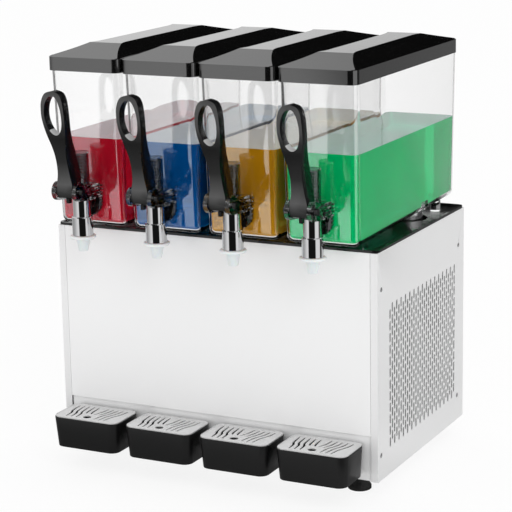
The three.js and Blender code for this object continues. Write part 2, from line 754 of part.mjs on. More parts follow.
// Drip tray: a tapered bin with round corners and two tongues that hook into the front panel
const tongue_x = 34;
const tongue_width = 3;
const tongue_height = 14;
const tongue_drop = 24.2; // from the tray's rim to the tongue's lower edge
const tongue_reach = 9;
const tray_rear = -seat_gap;
const tray_front = tray_rear - tray_depth;
const tray_half = tray_width / 2;

// The tray's outline drawn in by inset, with its sides and front drawn in further by draft
function tray_ring(inset, draft, z) {
  const half = tray_half - inset - draft;
  const ring = rounded(half, tray_front + inset + draft, tray_rear - inset, tray_radius - inset);
  return ring.map(([x, y]) => [x, y, z]);
}

function drip_tray() {
  const low = tray_top_z - tray_height;
  const outside = loft([tray_ring(0, tray_draft, low), tray_ring(0, 0, tray_top_z)]);
  const inside = loft([
    tray_ring(tray_wall, tray_draft, low + tray_wall),
    tray_ring(tray_wall, 0, tray_top_z + overrun),
  ]);
  const tongue_low = tray_top_z - tongue_drop;
  const tongue = (x) => block(x - tongue_width / 2, x + tongue_width / 2, tray_rear - tray_wall,
    panel_step + tongue_reach, tongue_low, tongue_low + tongue_height);
  return outside.subtract(inside).add(tongue(-tongue_x)).add(tongue(tongue_x));
}
at_each_station('drip_tray', drip_tray(), materials.black_plastic);

// Grid: a pressed plate that lies on the tray's rim, with a rib inside each side wall that keeps it
// in place, wavy slots in two groups, short slots before the right group and an oval finger hole
const grid_thickness = 1.5;
const rib_gap = 0.6;
const rib_thickness = 1.2;
const rib_depth = 3.5;
const slot_half = 1.5;
const slot_wave = 2.2;
const slot_pitch = 9.4;
const slot_rear = 11; // from the grid's rear edge to the slots
const slot_length = 40;
const left_slots = { count: 4, x: -43, length: slot_length, rear: slot_rear, wave: slot_wave };
const right_slots = { count: 5, x: 3, length: 24, rear: slot_rear, wave: slot_wave };
const short_slots = { count: 3, x: 16, length: 13, rear: 40, wave: 0 };
const grid_hole_half = 6;
const grid_hole_depth = 6.8;
const grid_hole_front = 11.4; // from the grid's front edge to the hole's middle
const grid_hole_sides = 6;

function tray_grid() {
  const low = tray_top_z + seat_gap;
  const top = low + grid_thickness;
  const plate = loft([tray_ring(0, 0, low), tray_ring(0, 0, top)]);
  const rib_x = tray_half - tray_wall - rib_gap;
  const rib = (x) => block(x, x + rib_thickness, tray_front + tray_radius, tray_rear - tray_radius,
    low - rib_depth, low + grid_thickness / 2);
  const slots = [left_slots, right_slots, short_slots].flatMap((group) => {
    const rear = tray_rear - group.rear;
    const front = rear - group.length;
    return Array.from({ length: group.count }, (_, i) => {
      const [x0, x1] = [group.x + i * slot_pitch - slot_half, group.x + i * slot_pitch + slot_half];
      const middle = (front + rear) / 2;
      const left_bend = group.wave > 0 ? [[x0 + group.wave, middle]] : [];
      const right_bend = group.wave > 0 ? [[x1 + group.wave, middle]] : [];
      const outline = [[x0, rear], ...left_bend, [x0, front], [x1, front], ...right_bend, [x1, rear]];
      return prism('z', outline, low - overrun, top + overrun);
    });
  });
  const oval = Array.from({ length: grid_hole_sides }, (_, i) => {
    const angle = (i / grid_hole_sides) * Math.PI * 2;
    const middle = tray_front + grid_hole_front;
    return [grid_hole_half * Math.cos(angle), middle + (grid_hole_depth / 2) * Math.sin(angle)];
  });
  return cut(joined([plate, rib(-rib_x), rib(rib_x - rib_thickness)]), [
    ...slots,
    prism('z', oval, low - overrun, top + overrun),
  ]);
}
at_each_station('tray_grid', tray_grid(), materials.grid_steel);

// Cabinet shell in bent sheet
const side_face = half_width - sheet;
const panel_half = half_width - flange_width - seat_gap;
const station_x = (i) => (i - (unit_count - 1) / 2) * unit_pitch;

function side_panel() {
  const plan = bent_sheet([
    [half_width - flange_width, 0], [half_width, 0], [half_width, cabinet_depth],
    [half_width - flange_width, cabinet_depth],
  ], sheet);
  return prism('z', plan, foot_height, cabinet_top);
}

// Air slots: short upright slots in a brick pattern over the lower rear of the right side
const vent_columns = 9;
const vent_rows = 6;
const vent_rear_margin = 36;
const vent_low_margin = 38;
const vent_top_margin = 88;
const vent_front = 41;
const vent_rear = cabinet_depth - vent_rear_margin;
const vent_low = foot_height + vent_low_margin;
const vent_high = cabinet_top - vent_top_margin;
const vent_width = 9;
const vent_height_share = 0.72; // of the rows' pitch

function vented_panel() {
  const pitch_y = (vent_rear - vent_front) / vent_columns;
  const pitch_z = (vent_high - vent_low) / vent_rows;
  const height = pitch_z * vent_height_share;
  const slots = [];
  for (let column = 0; column < vent_columns; column += 1) {
    for (let row = 0; row < vent_rows; row += 1) {
      const y = vent_front + (column + 0.5) * pitch_y;
      const z = vent_low + (row + (column % 2 ? 0.5 : 0)) * pitch_z;
      slots.push(block(side_face - overrun, half_width + overrun, y - vent_width / 2, y + vent_width / 2,
        z, z + height));
    }
  }
  return side_panel().subtract(Manifold.compose(slots));
}
piece('side_panel_right', vented_panel(), materials.brushed_steel);
piece('side_panel_left', side_panel().mirror([1, 0, 0]), materials.brushed_steel);

function front_panel() {
  const step_z = foot_height + panel_strip;
  const section = bent_sheet([
    [panel_step + sheet_lip, foot_height + seat_gap], [panel_step, foot_height + seat_gap],
    [panel_step, step_z], [0, step_z], [0, cabinet_top], [sheet_lip, cabinet_top],
  ], -sheet);
  const tongue_low = tray_top_z - tongue_drop - seat_gap;
  const openings = stations.flatMap((_, i) => [-tongue_x, tongue_x].map((x) => (
    block(station_x(i) + x - tongue_width / 2 - seat_gap, station_x(i) + x + tongue_width / 2 + seat_gap,
      -overrun, panel_step + sheet + overrun, tongue_low, tongue_low + tongue_height + seat_gap * 2)
  )));
  return cut(prism('x', section, -panel_half, panel_half), openings);
}
piece('front_panel', front_panel(), materials.brushed_steel);

const louvre_rows = 3;
const louvre_width = 150;
const louvre_height = 6;
const louvre_pitch = 18;
const louvre_drop = 160; // from the cabinet's top to the lowest row
const inlet_side = 66; // from the cabinet's left side to the inlet's middle
const inlet_rise = 60; // from the cabinet's bottom to the inlet's middle
const inlet_half = 16;
const inlet_x = inlet_side - half_width;
const inlet_z = foot_height + inlet_rise;

function rear_panel() {
  const section = bent_sheet([
    [cabinet_depth - sheet_lip, cabinet_top], [cabinet_depth, cabinet_top],
    [cabinet_depth, foot_height + seat_gap],
    [cabinet_depth - sheet_lip, foot_height + seat_gap],
  ], -sheet);
  const louvres = [];
  for (let row = 0; row < louvre_rows; row += 1) {
    const z = cabinet_top - louvre_drop + row * louvre_pitch;
    [-1, 1].forEach((side) => {
      const x = (side * (louvre_width + louvre_pitch)) / 2;
      louvres.push(block(x - louvre_width / 2, x + louvre_width / 2, cabinet_depth - sheet - overrun,
        cabinet_depth + overrun, z, z + louvre_height));
    });
  }
  const inlet = block(inlet_x - inlet_half, inlet_x + inlet_half, cabinet_depth - sheet - overrun,
    cabinet_depth + overrun, inlet_z - inlet_half, inlet_z + inlet_half);
  return prism('x', section, -panel_half, panel_half).subtract(Manifold.compose(louvres)).subtract(inlet);
}
piece('rear_panel', rear_panel(), materials.brushed_steel);

// Base pan between the panels' lower lips
const pan_base = foot_height + seat_gap * 2 + sheet;
const pan_half = side_face - seat_gap;
const pan_lip = 18;

function base_pan() {
  const section = bent_sheet([
    [panel_step + sheet + seat_gap, pan_base + pan_lip], [panel_step + sheet + seat_gap, pan_base],
    [cabinet_depth - sheet - seat_gap, pan_base], [cabinet_depth - sheet - seat_gap, pan_base + pan_lip],
  ], sheet);
  return prism('x', section, -pan_half, pan_half);
}
piece('base_pan', base_pan(), materials.brushed_steel);

// Feet: flared rubber, each with a neck that reaches up to the base pan
const foot_side = 44; // from the cabinet's side to the foot's middle
const foot_inset = 36; // from the cabinet's front or rear to the foot's middle
const foot_radius = 17;
const foot_neck = 11;
const foot_pad = 7; // height of the flared pad
const foot_pad_taper = 1;
const foot_shoulder = 5; // below the cabinet's bottom
const foot_stud_taper = 2;

function foot(side, y) {
  const neck_top = pan_base - seat_gap;
  return turned([
    [0, 0], [foot_radius, 0], [foot_radius - foot_pad_taper, foot_pad],
    [foot_neck, foot_height - foot_shoulder], [foot_neck - foot_stud_taper, neck_top], [0, neck_top],
  ], [side * (half_width - foot_side), y], 10);
}
piece('foot_front_left', foot(-1, foot_inset), materials.foot_rubber);
piece('foot_front_right', foot(1, foot_inset), materials.foot_rubber);
piece('foot_rear_left', foot(-1, cabinet_depth - foot_inset), materials.foot_rubber);
piece('foot_rear_right', foot(1, cabinet_depth - foot_inset), materials.foot_rubber);

// Deck: a black moulded top with a raised bead round its edge and a round recess for each drum
const deck_radius = 8;
const bead_width = 4.5;
const bead_height = 3.6;
const recess_radius = 31;
const recess_depth = 8;
const deck_tub_depth = 9;
const deck_wall = 2.4;
const tub_inset = 16;

function deck_block(inset, radius, z0, z1) {
  const ring = rounded(half_width - inset, inset, cabinet_depth - inset, radius);
  return loft([z0, z1].map((z) => ring.map(([x, y]) => [x, y, z])));
}

function top_deck() {
  const bead_top = deck_base + bead_height;
  const slab = deck_block(0, deck_radius, deck_base, bead_top)
    .subtract(deck_block(bead_width, deck_radius - bead_width, deck_floor, bead_top + overrun));
  const tub_low = deck_base - deck_tub_depth;
  const tub_radius = deck_radius - bead_width;
  const tub = deck_block(tub_inset, tub_radius, tub_low, deck_base + sheet)
    .subtract(deck_block(tub_inset + deck_wall, tub_radius - deck_wall, tub_low - overrun, deck_base));
  const at_drums = (radius, z0, z1) => stations.map((_, i) => (
    bar('z', radius, z0, z1, [station_x(i) + drum_x, drum_y], drum_sides)
  ));
  const recess_floor = deck_floor - recess_depth;
  const wells = at_drums(recess_radius + deck_wall, recess_floor - deck_wall, deck_floor);
  return cut(joined([slab, tub, ...wells]), [
    ...at_drums(recess_radius, recess_floor, bead_top + overrun),
    ...at_drums(drum_radius + seat_gap, recess_floor - deck_wall - overrun, deck_floor),
  ]);
}
piece('top_deck', top_deck(), materials.black_plastic);

// Drive rail and cooling set hang under the deck, and the compressor and condenser stand below them
const skirt_low = deck_floor - recess_depth - deck_wall - drum_skirt;
const rail_drop = 42.7; // below the drums' skirts
const rail_z = skirt_low - rail_drop;
const motor_height = 42;
const motor_low = rail_z - motor_height;
const machine_low = pan_base + sheet + seat_gap;
const side_clearance = 32.3; // from the left side panel to the compressor
const compressor_clearance = 47.7; // below the stirrer motors
const compressor_radius = 66;
const compressor_y = 150;
const compressor_top = motor_low - compressor_clearance;
const compressor_x = side_clearance + compressor_radius - pan_half;

// Cooling drums: thin cans on flanges, open below, all fed by one line
const line_radius = 4;
const drum_flange = 2;
const flange_clearance = 2; // from the flange to the recess's wall
const seal_taper = 2;
const line_y = drum_y + drum_radius + line_radius - drum_skin + seat_gap;
const line_z = skirt_low + drum_skirt / 2;
const suction_share = 0.55; // of the compressor's height, where the line meets it
const suction_z = machine_low + (compressor_top - machine_low) * suction_share;

function cooling_drum(x) {
  const flange_low = deck_floor - recess_depth + seat_gap;
  const flange_radius = recess_radius - flange_clearance;
  const inner = drum_radius - drum_skin;
  const seal_radius = drum_radius + seal_bead;
  const seal_top = seal_z + seal_height;
  return turned([
    [inner, skirt_low], [drum_radius, skirt_low], [drum_radius, flange_low], [flange_radius, flange_low],
    [flange_radius, flange_low + drum_flange], [drum_radius, flange_low + drum_flange], [drum_radius, seal_z],
    [seal_radius, seal_z + seal_taper], [seal_radius, seal_top - seal_taper], [drum_radius, seal_top],
    [drum_radius, drum_top], [drum_pin_radius, drum_top], [drum_pin_radius, drum_top + drum_pin_height],
    [0, drum_top + drum_pin_height], [0, drum_top - drum_skin], [inner, drum_top - drum_skin],
    [inner, skirt_low],
  ], [x, drum_y], drum_sides);
}

function cooling_set() {
  const first = Math.min(station_x(0) + drum_x, compressor_x);
  const last = station_x(unit_count - 1) + drum_x;
  const suction_y = compressor_y + compressor_radius + seat_gap;
  return joined([
    ...stations.map((_, i) => cooling_drum(station_x(i) + drum_x)),
    bar('x', line_radius, first - line_radius, last + line_radius, [line_y, line_z], 8),
    bar('z', line_radius, suction_z - line_radius, line_z, [compressor_x, line_y], 8),
    bar('y', line_radius, suction_y, line_y, [compressor_x, suction_z], 8),
  ]);
}
piece('cooling_drums', cooling_set(), materials.drum_steel);

// Drive rail: a channel across the cabinet with one stirrer motor and magnet under each drum
const rail_half = 21;
const rail_flange = 12;
const rail_sheet = 1.8;
const motor_radius = 19;
const motor_shaft_radius = 3;
const magnet_radius = 15;
const magnet_height = 6;
const magnet_gap = 4; // below the drum's end

function drive_rail() {
  const section = bent_sheet([
    [drum_y - rail_half, rail_z - rail_flange], [drum_y - rail_half, rail_z], [drum_y + rail_half, rail_z],
    [drum_y + rail_half, rail_z - rail_flange],
  ], -rail_sheet);
  const magnet_top = drum_top - drum_skin - magnet_gap;
  const magnet_low = magnet_top - magnet_height;
  const motors = stations.flatMap((_, i) => {
    const at = [station_x(i) + drum_x, drum_y];
    return [
      bar('z', motor_radius, motor_low, rail_z - rail_sheet / 2, at, 8),
      bar('z', motor_shaft_radius, rail_z - rail_sheet / 2, magnet_low + rail_sheet, at, 6),
      bar('z', magnet_radius, magnet_low, magnet_top, at, 8),
    ];
  });
  return joined([prism('x', section, -pan_half, pan_half), ...motors]);
}
piece('drive_rail', drive_rail(), materials.coil_aluminium);

// Compressor: a welded domed can on a foot plate
const can_lift = 4;
const can_belly = 26; // height over which the can widens from its foot
const can_foot_share = 0.8; // of the can's radius
const can_dome = 42;
const can_dome_shares = [[1, 0], [0.88, 0.62], [0.5, 1], [0, 1]]; // of the can's radius and the dome's height
const compressor_plate = 5;
const compressor_plate_share = 0.7; // of the can's radius

function compressor() {
  const can_low = machine_low + can_lift;
  const plate_half = compressor_radius * compressor_plate_share;
  const dome = can_dome_shares.map(([across, up]) => [
    compressor_radius * across, compressor_top - can_dome * (1 - up),
  ]);
  return joined([
    turned([
      [0, can_low], [compressor_radius * can_foot_share, can_low], [compressor_radius, can_low + can_belly],
      ...dome,
    ], [compressor_x, compressor_y], 12),
    block(compressor_x - compressor_radius, compressor_x + compressor_radius, compressor_y - plate_half,
      compressor_y + plate_half, machine_low, machine_low + compressor_plate),
  ]);
}
piece('compressor', compressor(), materials.compressor_black);

// Condenser behind the air slots: fins on square tubes, a shroud, and the fan motor on its struts
const fin_count = 5;
const fin_thickness = 1.2;
const fin_lift = 12; // the inner fins stop this far above the pan
const condenser_side = 18.8; // from the side panel to the fins
const condenser_depth = 40;
const condenser_front = 56;
const condenser_rear_margin = 52;
const condenser_clearance = 5; // below the stirrer motors
const tube_half = 4;
const tube_rows = 2;
const shroud_margin = 21.3; // from the fan's tip to the shroud's nearer edges
const shroud_gap = 3; // round the fan
const fan_setback = 24; // from the shroud to the fan's middle
const fan_hub_radius = 20;
const fan_hub_half = 10;
const fan_shaft_radius = 3;
const fan_shaft_front = 12;
const fan_blade_count = 5;
const fan_blade_half = 24;
const fan_blade_thickness = 1.8;
const fan_blade_root = 4; // sunk in the hub
const fan_pitch_deg = 22;
const fan_tip_gap = 4; // from the blades' ends to the fan's full radius
const motor_setback = 34; // from the fan's middle to the strut
const motor_gap = 13; // from the fan's middle to the motor
const motor_case_radius = 25;
const motor_case_rear = 14; // behind the strut
const strut_half = 6;
const strut_depth = 4;
const condenser_x1 = side_face - condenser_side;
const condenser_x0 = condenser_x1 - condenser_depth;
const condenser_rear = cabinet_depth - condenser_rear_margin;
const condenser_top = motor_low - condenser_clearance;
const fan_x = condenser_x0 - fan_setback;
const fan_y = (condenser_front + condenser_rear) / 2;
const fan_z = (machine_low + condenser_top) / 2;
const fan_radius = Math.min(condenser_top - fan_z, condenser_rear - fan_y) - shroud_margin;

function condenser() {
  const fins = Array.from({ length: fin_count }, (_, i) => {
    const y = condenser_front + ((condenser_rear - condenser_front - fin_thickness) * i) / (fin_count - 1);
    const low = i === 0 || i === fin_count - 1 ? machine_low : machine_low + fin_lift;
    return block(condenser_x0, condenser_x1, y, y + fin_thickness, low, condenser_top);
  });
  const tube_x = (condenser_x0 + condenser_x1) / 2;
  const tubes = Array.from({ length: tube_rows }, (_, i) => {
    const z = machine_low + ((condenser_top - machine_low) * (i + 0.5)) / tube_rows;
    return block(tube_x - tube_half, tube_x + tube_half, condenser_front - tube_half * 2,
      condenser_rear + tube_half * 2, z - tube_half, z + tube_half);
  });
  const shroud_x0 = condenser_x0 - sheet;
  const shroud_x1 = condenser_x0 + sheet;
  const fan_opening = bar('x', fan_radius + shroud_gap, shroud_x0 - overrun, shroud_x1 + overrun,
    [fan_y, fan_z], 12);
  const shroud = block(shroud_x0, shroud_x1, condenser_front, condenser_rear, machine_low, condenser_top)
    .subtract(fan_opening);
  const motor_x = fan_x - motor_setback;
  const strut = (x1, y0, y1) => block(motor_x, x1, y0, y1, fan_z - strut_half, fan_z + strut_half);
  return joined([
    ...fins, ...tubes, shroud,
    strut(condenser_x0, condenser_front, condenser_front + fin_thickness * 2),
    strut(condenser_x0, condenser_rear - fin_thickness * 2, condenser_rear),
    strut(motor_x + strut_depth, condenser_front, condenser_rear),
    bar('x', motor_case_radius, motor_x - motor_case_rear, fan_x - motor_gap, [fan_y, fan_z], 10),
    bar('x', fan_shaft_radius, fan_x - motor_gap - overrun, fan_x + fan_shaft_front, [fan_y, fan_z], 8),
  ]);
}
piece('condenser', condenser(), materials.coil_aluminium);

function fan() {
  const bore_end = fan_hub_half + overrun;
  const bore = bar('x', fan_shaft_radius + running_gap, -bore_end, bore_end, [0, 0], 8);
  const hub = bar('x', fan_hub_radius, -fan_hub_half, fan_hub_half, [0, 0], 8).subtract(bore);
  const blade = block(-fan_blade_thickness / 2, fan_blade_thickness / 2, -fan_blade_half, fan_blade_half,
    fan_hub_radius - fan_blade_root, fan_radius - fan_tip_gap).rotate([0, 0, fan_pitch_deg]);
  const blades = Array.from({ length: fan_blade_count }, (_, i) => (
    blade.rotate([(i * 360) / fan_blade_count, 0, 0])
  ));
  return joined([hub, ...blades]).translate([fan_x, fan_y, fan_z]);
}
piece('fan', fan(), materials.black_plastic);

// Power inlet set in the rear panel: a housing, a bezel outside the sheet and three flat pins
const inlet_depth = 26;
const inlet_bezel = 3;
const inlet_ear = 6; // how far the bezel reaches past the housing at each side
const inlet_brow = 2; // and above and below it
const inlet_side_wall = 4;
const inlet_wall = 6;
const inlet_mouth_depth = 14;
const inlet_pin_x = 7;
const inlet_pin_half = 1;
const inlet_pin_height = 5;
const inlet_pin_rise = 4; // of the middle pin
const inlet_pin_tip = 2; // inside the rear panel

function power_inlet() {
  const body = inlet_half - seat_gap;
  const face = cabinet_depth + seat_gap;
  const front = face + inlet_bezel;
  const mouth_floor = cabinet_depth - inlet_mouth_depth;
  const centred = (half_x, half_z, y0, y1) => (
    block(inlet_x - half_x, inlet_x + half_x, y0, y1, inlet_z - half_z, inlet_z + half_z)
  );
  const housing = centred(body, body, cabinet_depth - inlet_depth, face + inlet_bezel / 2);
  const bezel = centred(body + inlet_ear, body + inlet_brow, face, front);
  const mouth = centred(body - inlet_side_wall, body - inlet_wall, mouth_floor, front + overrun);
  const pins = [-1, 0, 1].map((side) => {
    const z = inlet_z + (side === 0 ? inlet_pin_rise : 0);
    const x = inlet_x + side * inlet_pin_x;
    return block(x - inlet_pin_half, x + inlet_pin_half, mouth_floor - inlet_pin_half,
      cabinet_depth - inlet_pin_tip, z - inlet_pin_height / 2, z + inlet_pin_height / 2);
  });
  return joined([housing.add(bezel).subtract(mouth), ...pins]);
}
piece('power_inlet', power_inlet(), materials.black_plastic);

export default dispenser;
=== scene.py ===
# %% [markdown]
# # A four-tank juice dispenser
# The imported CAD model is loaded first, as a fixed frame. Each cell then models one piece of the
# real machine around it, and each piece rides on the CAD body that carries it.

# %% Load the frame
import math

import bmesh
import bpy
from mathutils import Matrix, Vector


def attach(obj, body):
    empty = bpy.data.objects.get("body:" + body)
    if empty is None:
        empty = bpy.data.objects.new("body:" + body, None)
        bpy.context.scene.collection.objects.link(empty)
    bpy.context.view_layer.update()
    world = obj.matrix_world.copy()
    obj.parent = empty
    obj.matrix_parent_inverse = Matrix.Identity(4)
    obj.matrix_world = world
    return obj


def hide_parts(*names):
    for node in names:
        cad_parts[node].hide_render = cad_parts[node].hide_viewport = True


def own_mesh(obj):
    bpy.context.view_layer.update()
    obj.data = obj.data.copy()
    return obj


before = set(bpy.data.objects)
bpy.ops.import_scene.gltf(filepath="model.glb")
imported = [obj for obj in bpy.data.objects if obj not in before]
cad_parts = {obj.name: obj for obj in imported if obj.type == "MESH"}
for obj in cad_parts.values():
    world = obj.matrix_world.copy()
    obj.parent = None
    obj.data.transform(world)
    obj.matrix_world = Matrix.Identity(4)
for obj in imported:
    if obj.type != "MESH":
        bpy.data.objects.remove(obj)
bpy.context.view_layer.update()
scene = bpy.context.scene

# %% [markdown]
# ## The camera
# A product photographer stands to the right of the machine with a long lens, so that upright
# edges stay nearly parallel. The turn, tilt and lean below are how that lens was held.

# %% Camera
CAMERA_PLACE, LENS, SENSOR, FAR_END = (1.2323, -2.4115, 0.9431), 132.2, 36, 50
camera_turn = math.radians(26.813)
camera_tilt = math.radians(13.269)
camera_lean = math.radians(-1.088)
toward_camera = Vector((
    math.sin(camera_turn) * math.cos(camera_tilt),
    -math.cos(camera_turn) * math.cos(camera_tilt),
    math.sin(camera_tilt),
))
level_right = Vector((math.cos(camera_turn), math.sin(camera_turn), 0))
level_up = toward_camera.cross(level_right)
camera_right = math.cos(camera_lean) * level_right + math.sin(camera_lean) * level_up
camera_up = math.cos(camera_lean) * level_up - math.sin(camera_lean) * level_right

camera = bpy.data.objects.new("camera", bpy.data.cameras.new("camera"))
scene.collection.objects.link(camera)
camera.data.lens = LENS
camera.data.sensor_width = SENSOR
camera.data.clip_end = FAR_END
camera.matrix_world = Matrix.Translation(CAMERA_PLACE) @ Matrix((
    camera_right, camera_up, toward_camera)).transposed().to_4x4()
scene.camera = camera
print("camera stands", round(camera.location.length, 2), "m from the machine's middle")

# %% [markdown]
# ## Units and places
# The maker's drawing is in millimetres with its depth counted from the cabinet's front. The CAD
# frame is in metres with its depth counted from the middle, so every size goes through `mm` and
# every depth through `deep`. The four tanks stand at the stations, one pitch apart.

# %% Units and places
DEPTH_MIDDLE = 113.5
STATIONS = [-182.25, -60.75, 60.75, 182.25]


def mm(value):
    return value / 1000


def deep(y):
    return mm(y - DEPTH_MIDDLE)


# %% [markdown]
# ## A small workshop
# These helpers do what a modeller does by hand: select by place, bevel, extrude, join and cut.
# Operators act on everything that is selected, so each helper clears the selection first.

# %% Selecting and settling
def clear_selection():
    if bpy.context.object and bpy.context.object.mode != "OBJECT":
        bpy.ops.object.mode_set(mode="OBJECT")
    bpy.ops.object.select_all(action="DESELECT")


def take(piece):
    clear_selection()
    piece.select_set(True)
    bpy.context.view_layer.objects.active = piece


def edit_all(piece):
    """Opens a piece in edit mode with everything selected."""
    take(piece)
    bpy.ops.object.mode_set(mode="EDIT")
    bpy.ops.mesh.select_all(action="SELECT")


def settle(piece):
    """Puts a piece's place into its mesh and leaves its object at the origin."""
    take(piece)
    bpy.ops.object.transform_apply(location=True, rotation=True, scale=True)
    return piece


def round_where(piece, test, width, steps):
    """Rounds only the edges that pass the test."""
    take(piece)
    bpy.ops.object.mode_set(mode="EDIT")
    bpy.ops.mesh.select_all(action="DESELECT")
    bpy.ops.mesh.select_mode(type="EDGE")
    mesh = bmesh.from_edit_mesh(piece.data)
    for edge in mesh.edges:
        if test(edge):
            edge.select_set(True)
    mesh.select_flush_mode()
    bmesh.update_edit_mesh(piece.data)
    bpy.ops.mesh.bevel(offset=mm(width), segments=steps, affect="EDGES")
    bpy.ops.object.mode_set(mode="OBJECT")
    return piece


def is_upright(edge):
    run = edge.verts[1].co - edge.verts[0].co
    return abs(run.z) > 0.9 * run.length


def finish_with(piece, kind, **values):
    """Adds one modifier with its values and applies it."""
    take(piece)
    modifier = piece.modifiers.new(kind.lower(), kind)
    for name, value in values.items():
        setattr(modifier, name, value)
    bpy.ops.object.modifier_apply(modifier=modifier.name)


def soften(piece, width, segments=2, angle=35):
    """Rounds every sharp edge, as moulding and polishing do, and shades the piece."""
    finish_with(piece, "BEVEL", width=mm(width), segments=segments, limit_method="ANGLE",
                angle_limit=math.radians(angle))
    return shade(piece)


def shade(piece, angle=38):
    take(piece)
    bpy.ops.object.shade_smooth_by_angle(angle=math.radians(angle))
    return piece


# %% Boxes, turned pieces and plates
def named(name):
    piece = bpy.context.object
    piece.name = name
    piece.data.name = name
    return piece


def slab(name, x, y, z, corner=0, steps=6):
    """A block between two corners in millimetres, with its upright edges rounded."""
    clear_selection()
    middle = (mm(x[0] + x[1]) / 2, (deep(y[0]) + deep(y[1])) / 2, mm(z[0] + z[1]) / 2)
    bpy.ops.mesh.primitive_cube_add(size=1, location=middle,
                                    scale=(mm(x[1] - x[0]), mm(y[1] - y[0]), mm(z[1] - z[0])))
    piece = settle(named(name))
    return round_where(piece, is_upright, corner, steps) if corner else piece


def turned(name, outline, x, y, sides=48):
    """A lathe-turned piece. The outline lists (radius, height) and runs up or round the wall."""
    clear_selection()
    (radius, height), *rest = outline
    centre = Vector((mm(x), deep(y), mm(height)))
    bpy.ops.mesh.primitive_circle_add(vertices=sides, radius=mm(radius), location=centre)
    piece = settle(named(name))
    edit_all(piece)
    for next_radius, next_height in rest:
        bpy.ops.mesh.extrude_region_move(
            TRANSFORM_OT_translate={"value": (0, 0, mm(next_height - height))})
        share = next_radius / radius
        bpy.ops.transform.resize(value=(share, share, 1),
                                 center_override=(centre.x, centre.y, mm(next_height)))
        radius, height = next_radius, next_height
    return close_up(piece)


def close_up(piece):
    """Merges doubles, closes open ends and turns every face outwards."""
    bpy.ops.mesh.select_all(action="SELECT")
    bpy.ops.mesh.remove_doubles(threshold=1e-6)
    bpy.ops.mesh.fill_holes(sides=0)
    bpy.ops.mesh.select_all(action="SELECT")
    bpy.ops.mesh.normals_make_consistent(inside=False)
    bpy.ops.object.mode_set(mode="OBJECT")
    return piece


def plate(name, outline, axis, start, end):
    """An outline pushed along an axis: (y, z) points for x, (x, z) for y and (x, y) for z."""
    clear_selection()
    bpy.ops.mesh.primitive_circle_add(vertices=len(outline), radius=1, fill_type="NGON")
    piece = named(name)
    for vertex, (u, v) in zip(piece.data.vertices, outline):
        vertex.co = {"x": (mm(start), deep(u), mm(v)), "y": (mm(u), deep(start), mm(v)),
                     "z": (mm(u), deep(v), mm(start))}[axis]
    push = mm(end - start)
    edit_all(piece)
    bpy.ops.mesh.extrude_region_move(TRANSFORM_OT_translate={
        "value": {"x": (push, 0, 0), "y": (0, push, 0), "z": (0, 0, push)}[axis]})
    return close_up(piece)


def eased(points, steps=4):
    """A smooth line through the points, as a draughtsman's flexible ruler gives."""
    last = len(points) - 1
    line = []
    for i in range(last):
        a, b, c, d = (Vector(points[min(max(i + k, 0), last)]) for k in (-1, 0, 1, 2))
        for step in range(steps):
            t = step / steps
            line.append(tuple(0.5 * (2 * b + (c - a) * t + (2 * a - 5 * b + 4 * c - d) * t ** 2
                                     + (3 * b - a - 3 * c + d) * t ** 3)))
    return line + [tuple(points[-1])]


# %% Joining and cutting
def combine(piece, others, operation):
    for other in others:
        finish_with(piece, "BOOLEAN", object=other, operation=operation, solver="MANIFOLD")
        bpy.data.objects.remove(other)
    return piece


def join(piece, *others):
    return combine(piece, others, "UNION")


def cut(piece, *tools):
    return combine(piece, tools, "DIFFERENCE")


def pin(name, axis, radius, start, end, at, sides=32):
    """A straight round tool along x, y or z; `at` is its place on the other two axes."""
    clear_selection()
    middle = {"x": (mm(start + end) / 2, deep(at[0]), mm(at[1])),
              "y": (mm(at[0]), (deep(start) + deep(end)) / 2, mm(at[1])),
              "z": (mm(at[0]), deep(at[1]), mm(start + end) / 2)}[axis]
    turn = {"x": (0, math.pi / 2, 0), "y": (math.pi / 2, 0, 0), "z": (0, 0, 0)}[axis]
    bpy.ops.mesh.primitive_cylinder_add(vertices=sides, radius=mm(radius), depth=mm(end - start),
                                        location=middle, rotation=turn)
    return settle(named(name))


# %% [markdown]
# ## Handing a piece over
# A piece that is the same at each of the four taps is modelled once in the middle of the machine
# and copied to its places. Each copy has its own mesh, rides on its own body and stands for its
# own CAD node.

# %% Handing pieces over
def dress(piece, material, slot, body, *nodes):
    piece.data.materials.clear()
    piece.data.materials.append(material)
    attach(piece, body)
    if nodes:
        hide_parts(*nodes)


def copy_at(piece, x, name):
    """A copy with a mesh of its own, moved `x` millimetres to the right."""
    copy = piece.copy()
    copy.data = piece.data.copy()
    copy.data.transform(Matrix.Translation((mm(x), 0, 0)))
    copy.name = copy.data.name = name
    scene.collection.objects.link(copy)
    return copy


def dress_stations(piece, materials, slot, body, node):
    copies = []
    for number, x in enumerate(STATIONS, 1):
        copy = copy_at(piece, x, f"{piece.name}_at_{number}")
        material = materials[number - 1] if isinstance(materials, list) else materials
        dress(copy, material, slot, f"{body}_{number}", *([f"{node}_{number}"] if node else []))
        copies.append(copy)
    bpy.data.objects.remove(piece)
    print(copies[0].name, "has", len(copies[0].data.polygons), "faces")
    return copies


FLAT_ANGLE = 15  # degrees; sharper bends keep their edge, so that a flat sheet looks flat


def softened(node, width):
    """A merged copy of a CAD node with rounded edges, for bent sheet and plain mouldings."""
    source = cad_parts[node]
    copy = bpy.data.objects.new(f"{node}_finished", source.data.copy())
    scene.collection.objects.link(copy)
    edit_all(copy)
    bpy.ops.mesh.remove_doubles(threshold=1e-6)
    bpy.ops.mesh.dissolve_limited(angle_limit=math.radians(1))
    bpy.ops.object.mode_set(mode="OBJECT")
    return shade(soften(copy, width), FLAT_ANGLE)


# %% [markdown]
# ## Wiring a finish
# A finish is a small tree of shader nodes. These helpers add a node and feed its sockets in one
# line, so that each finish below reads as what it does.

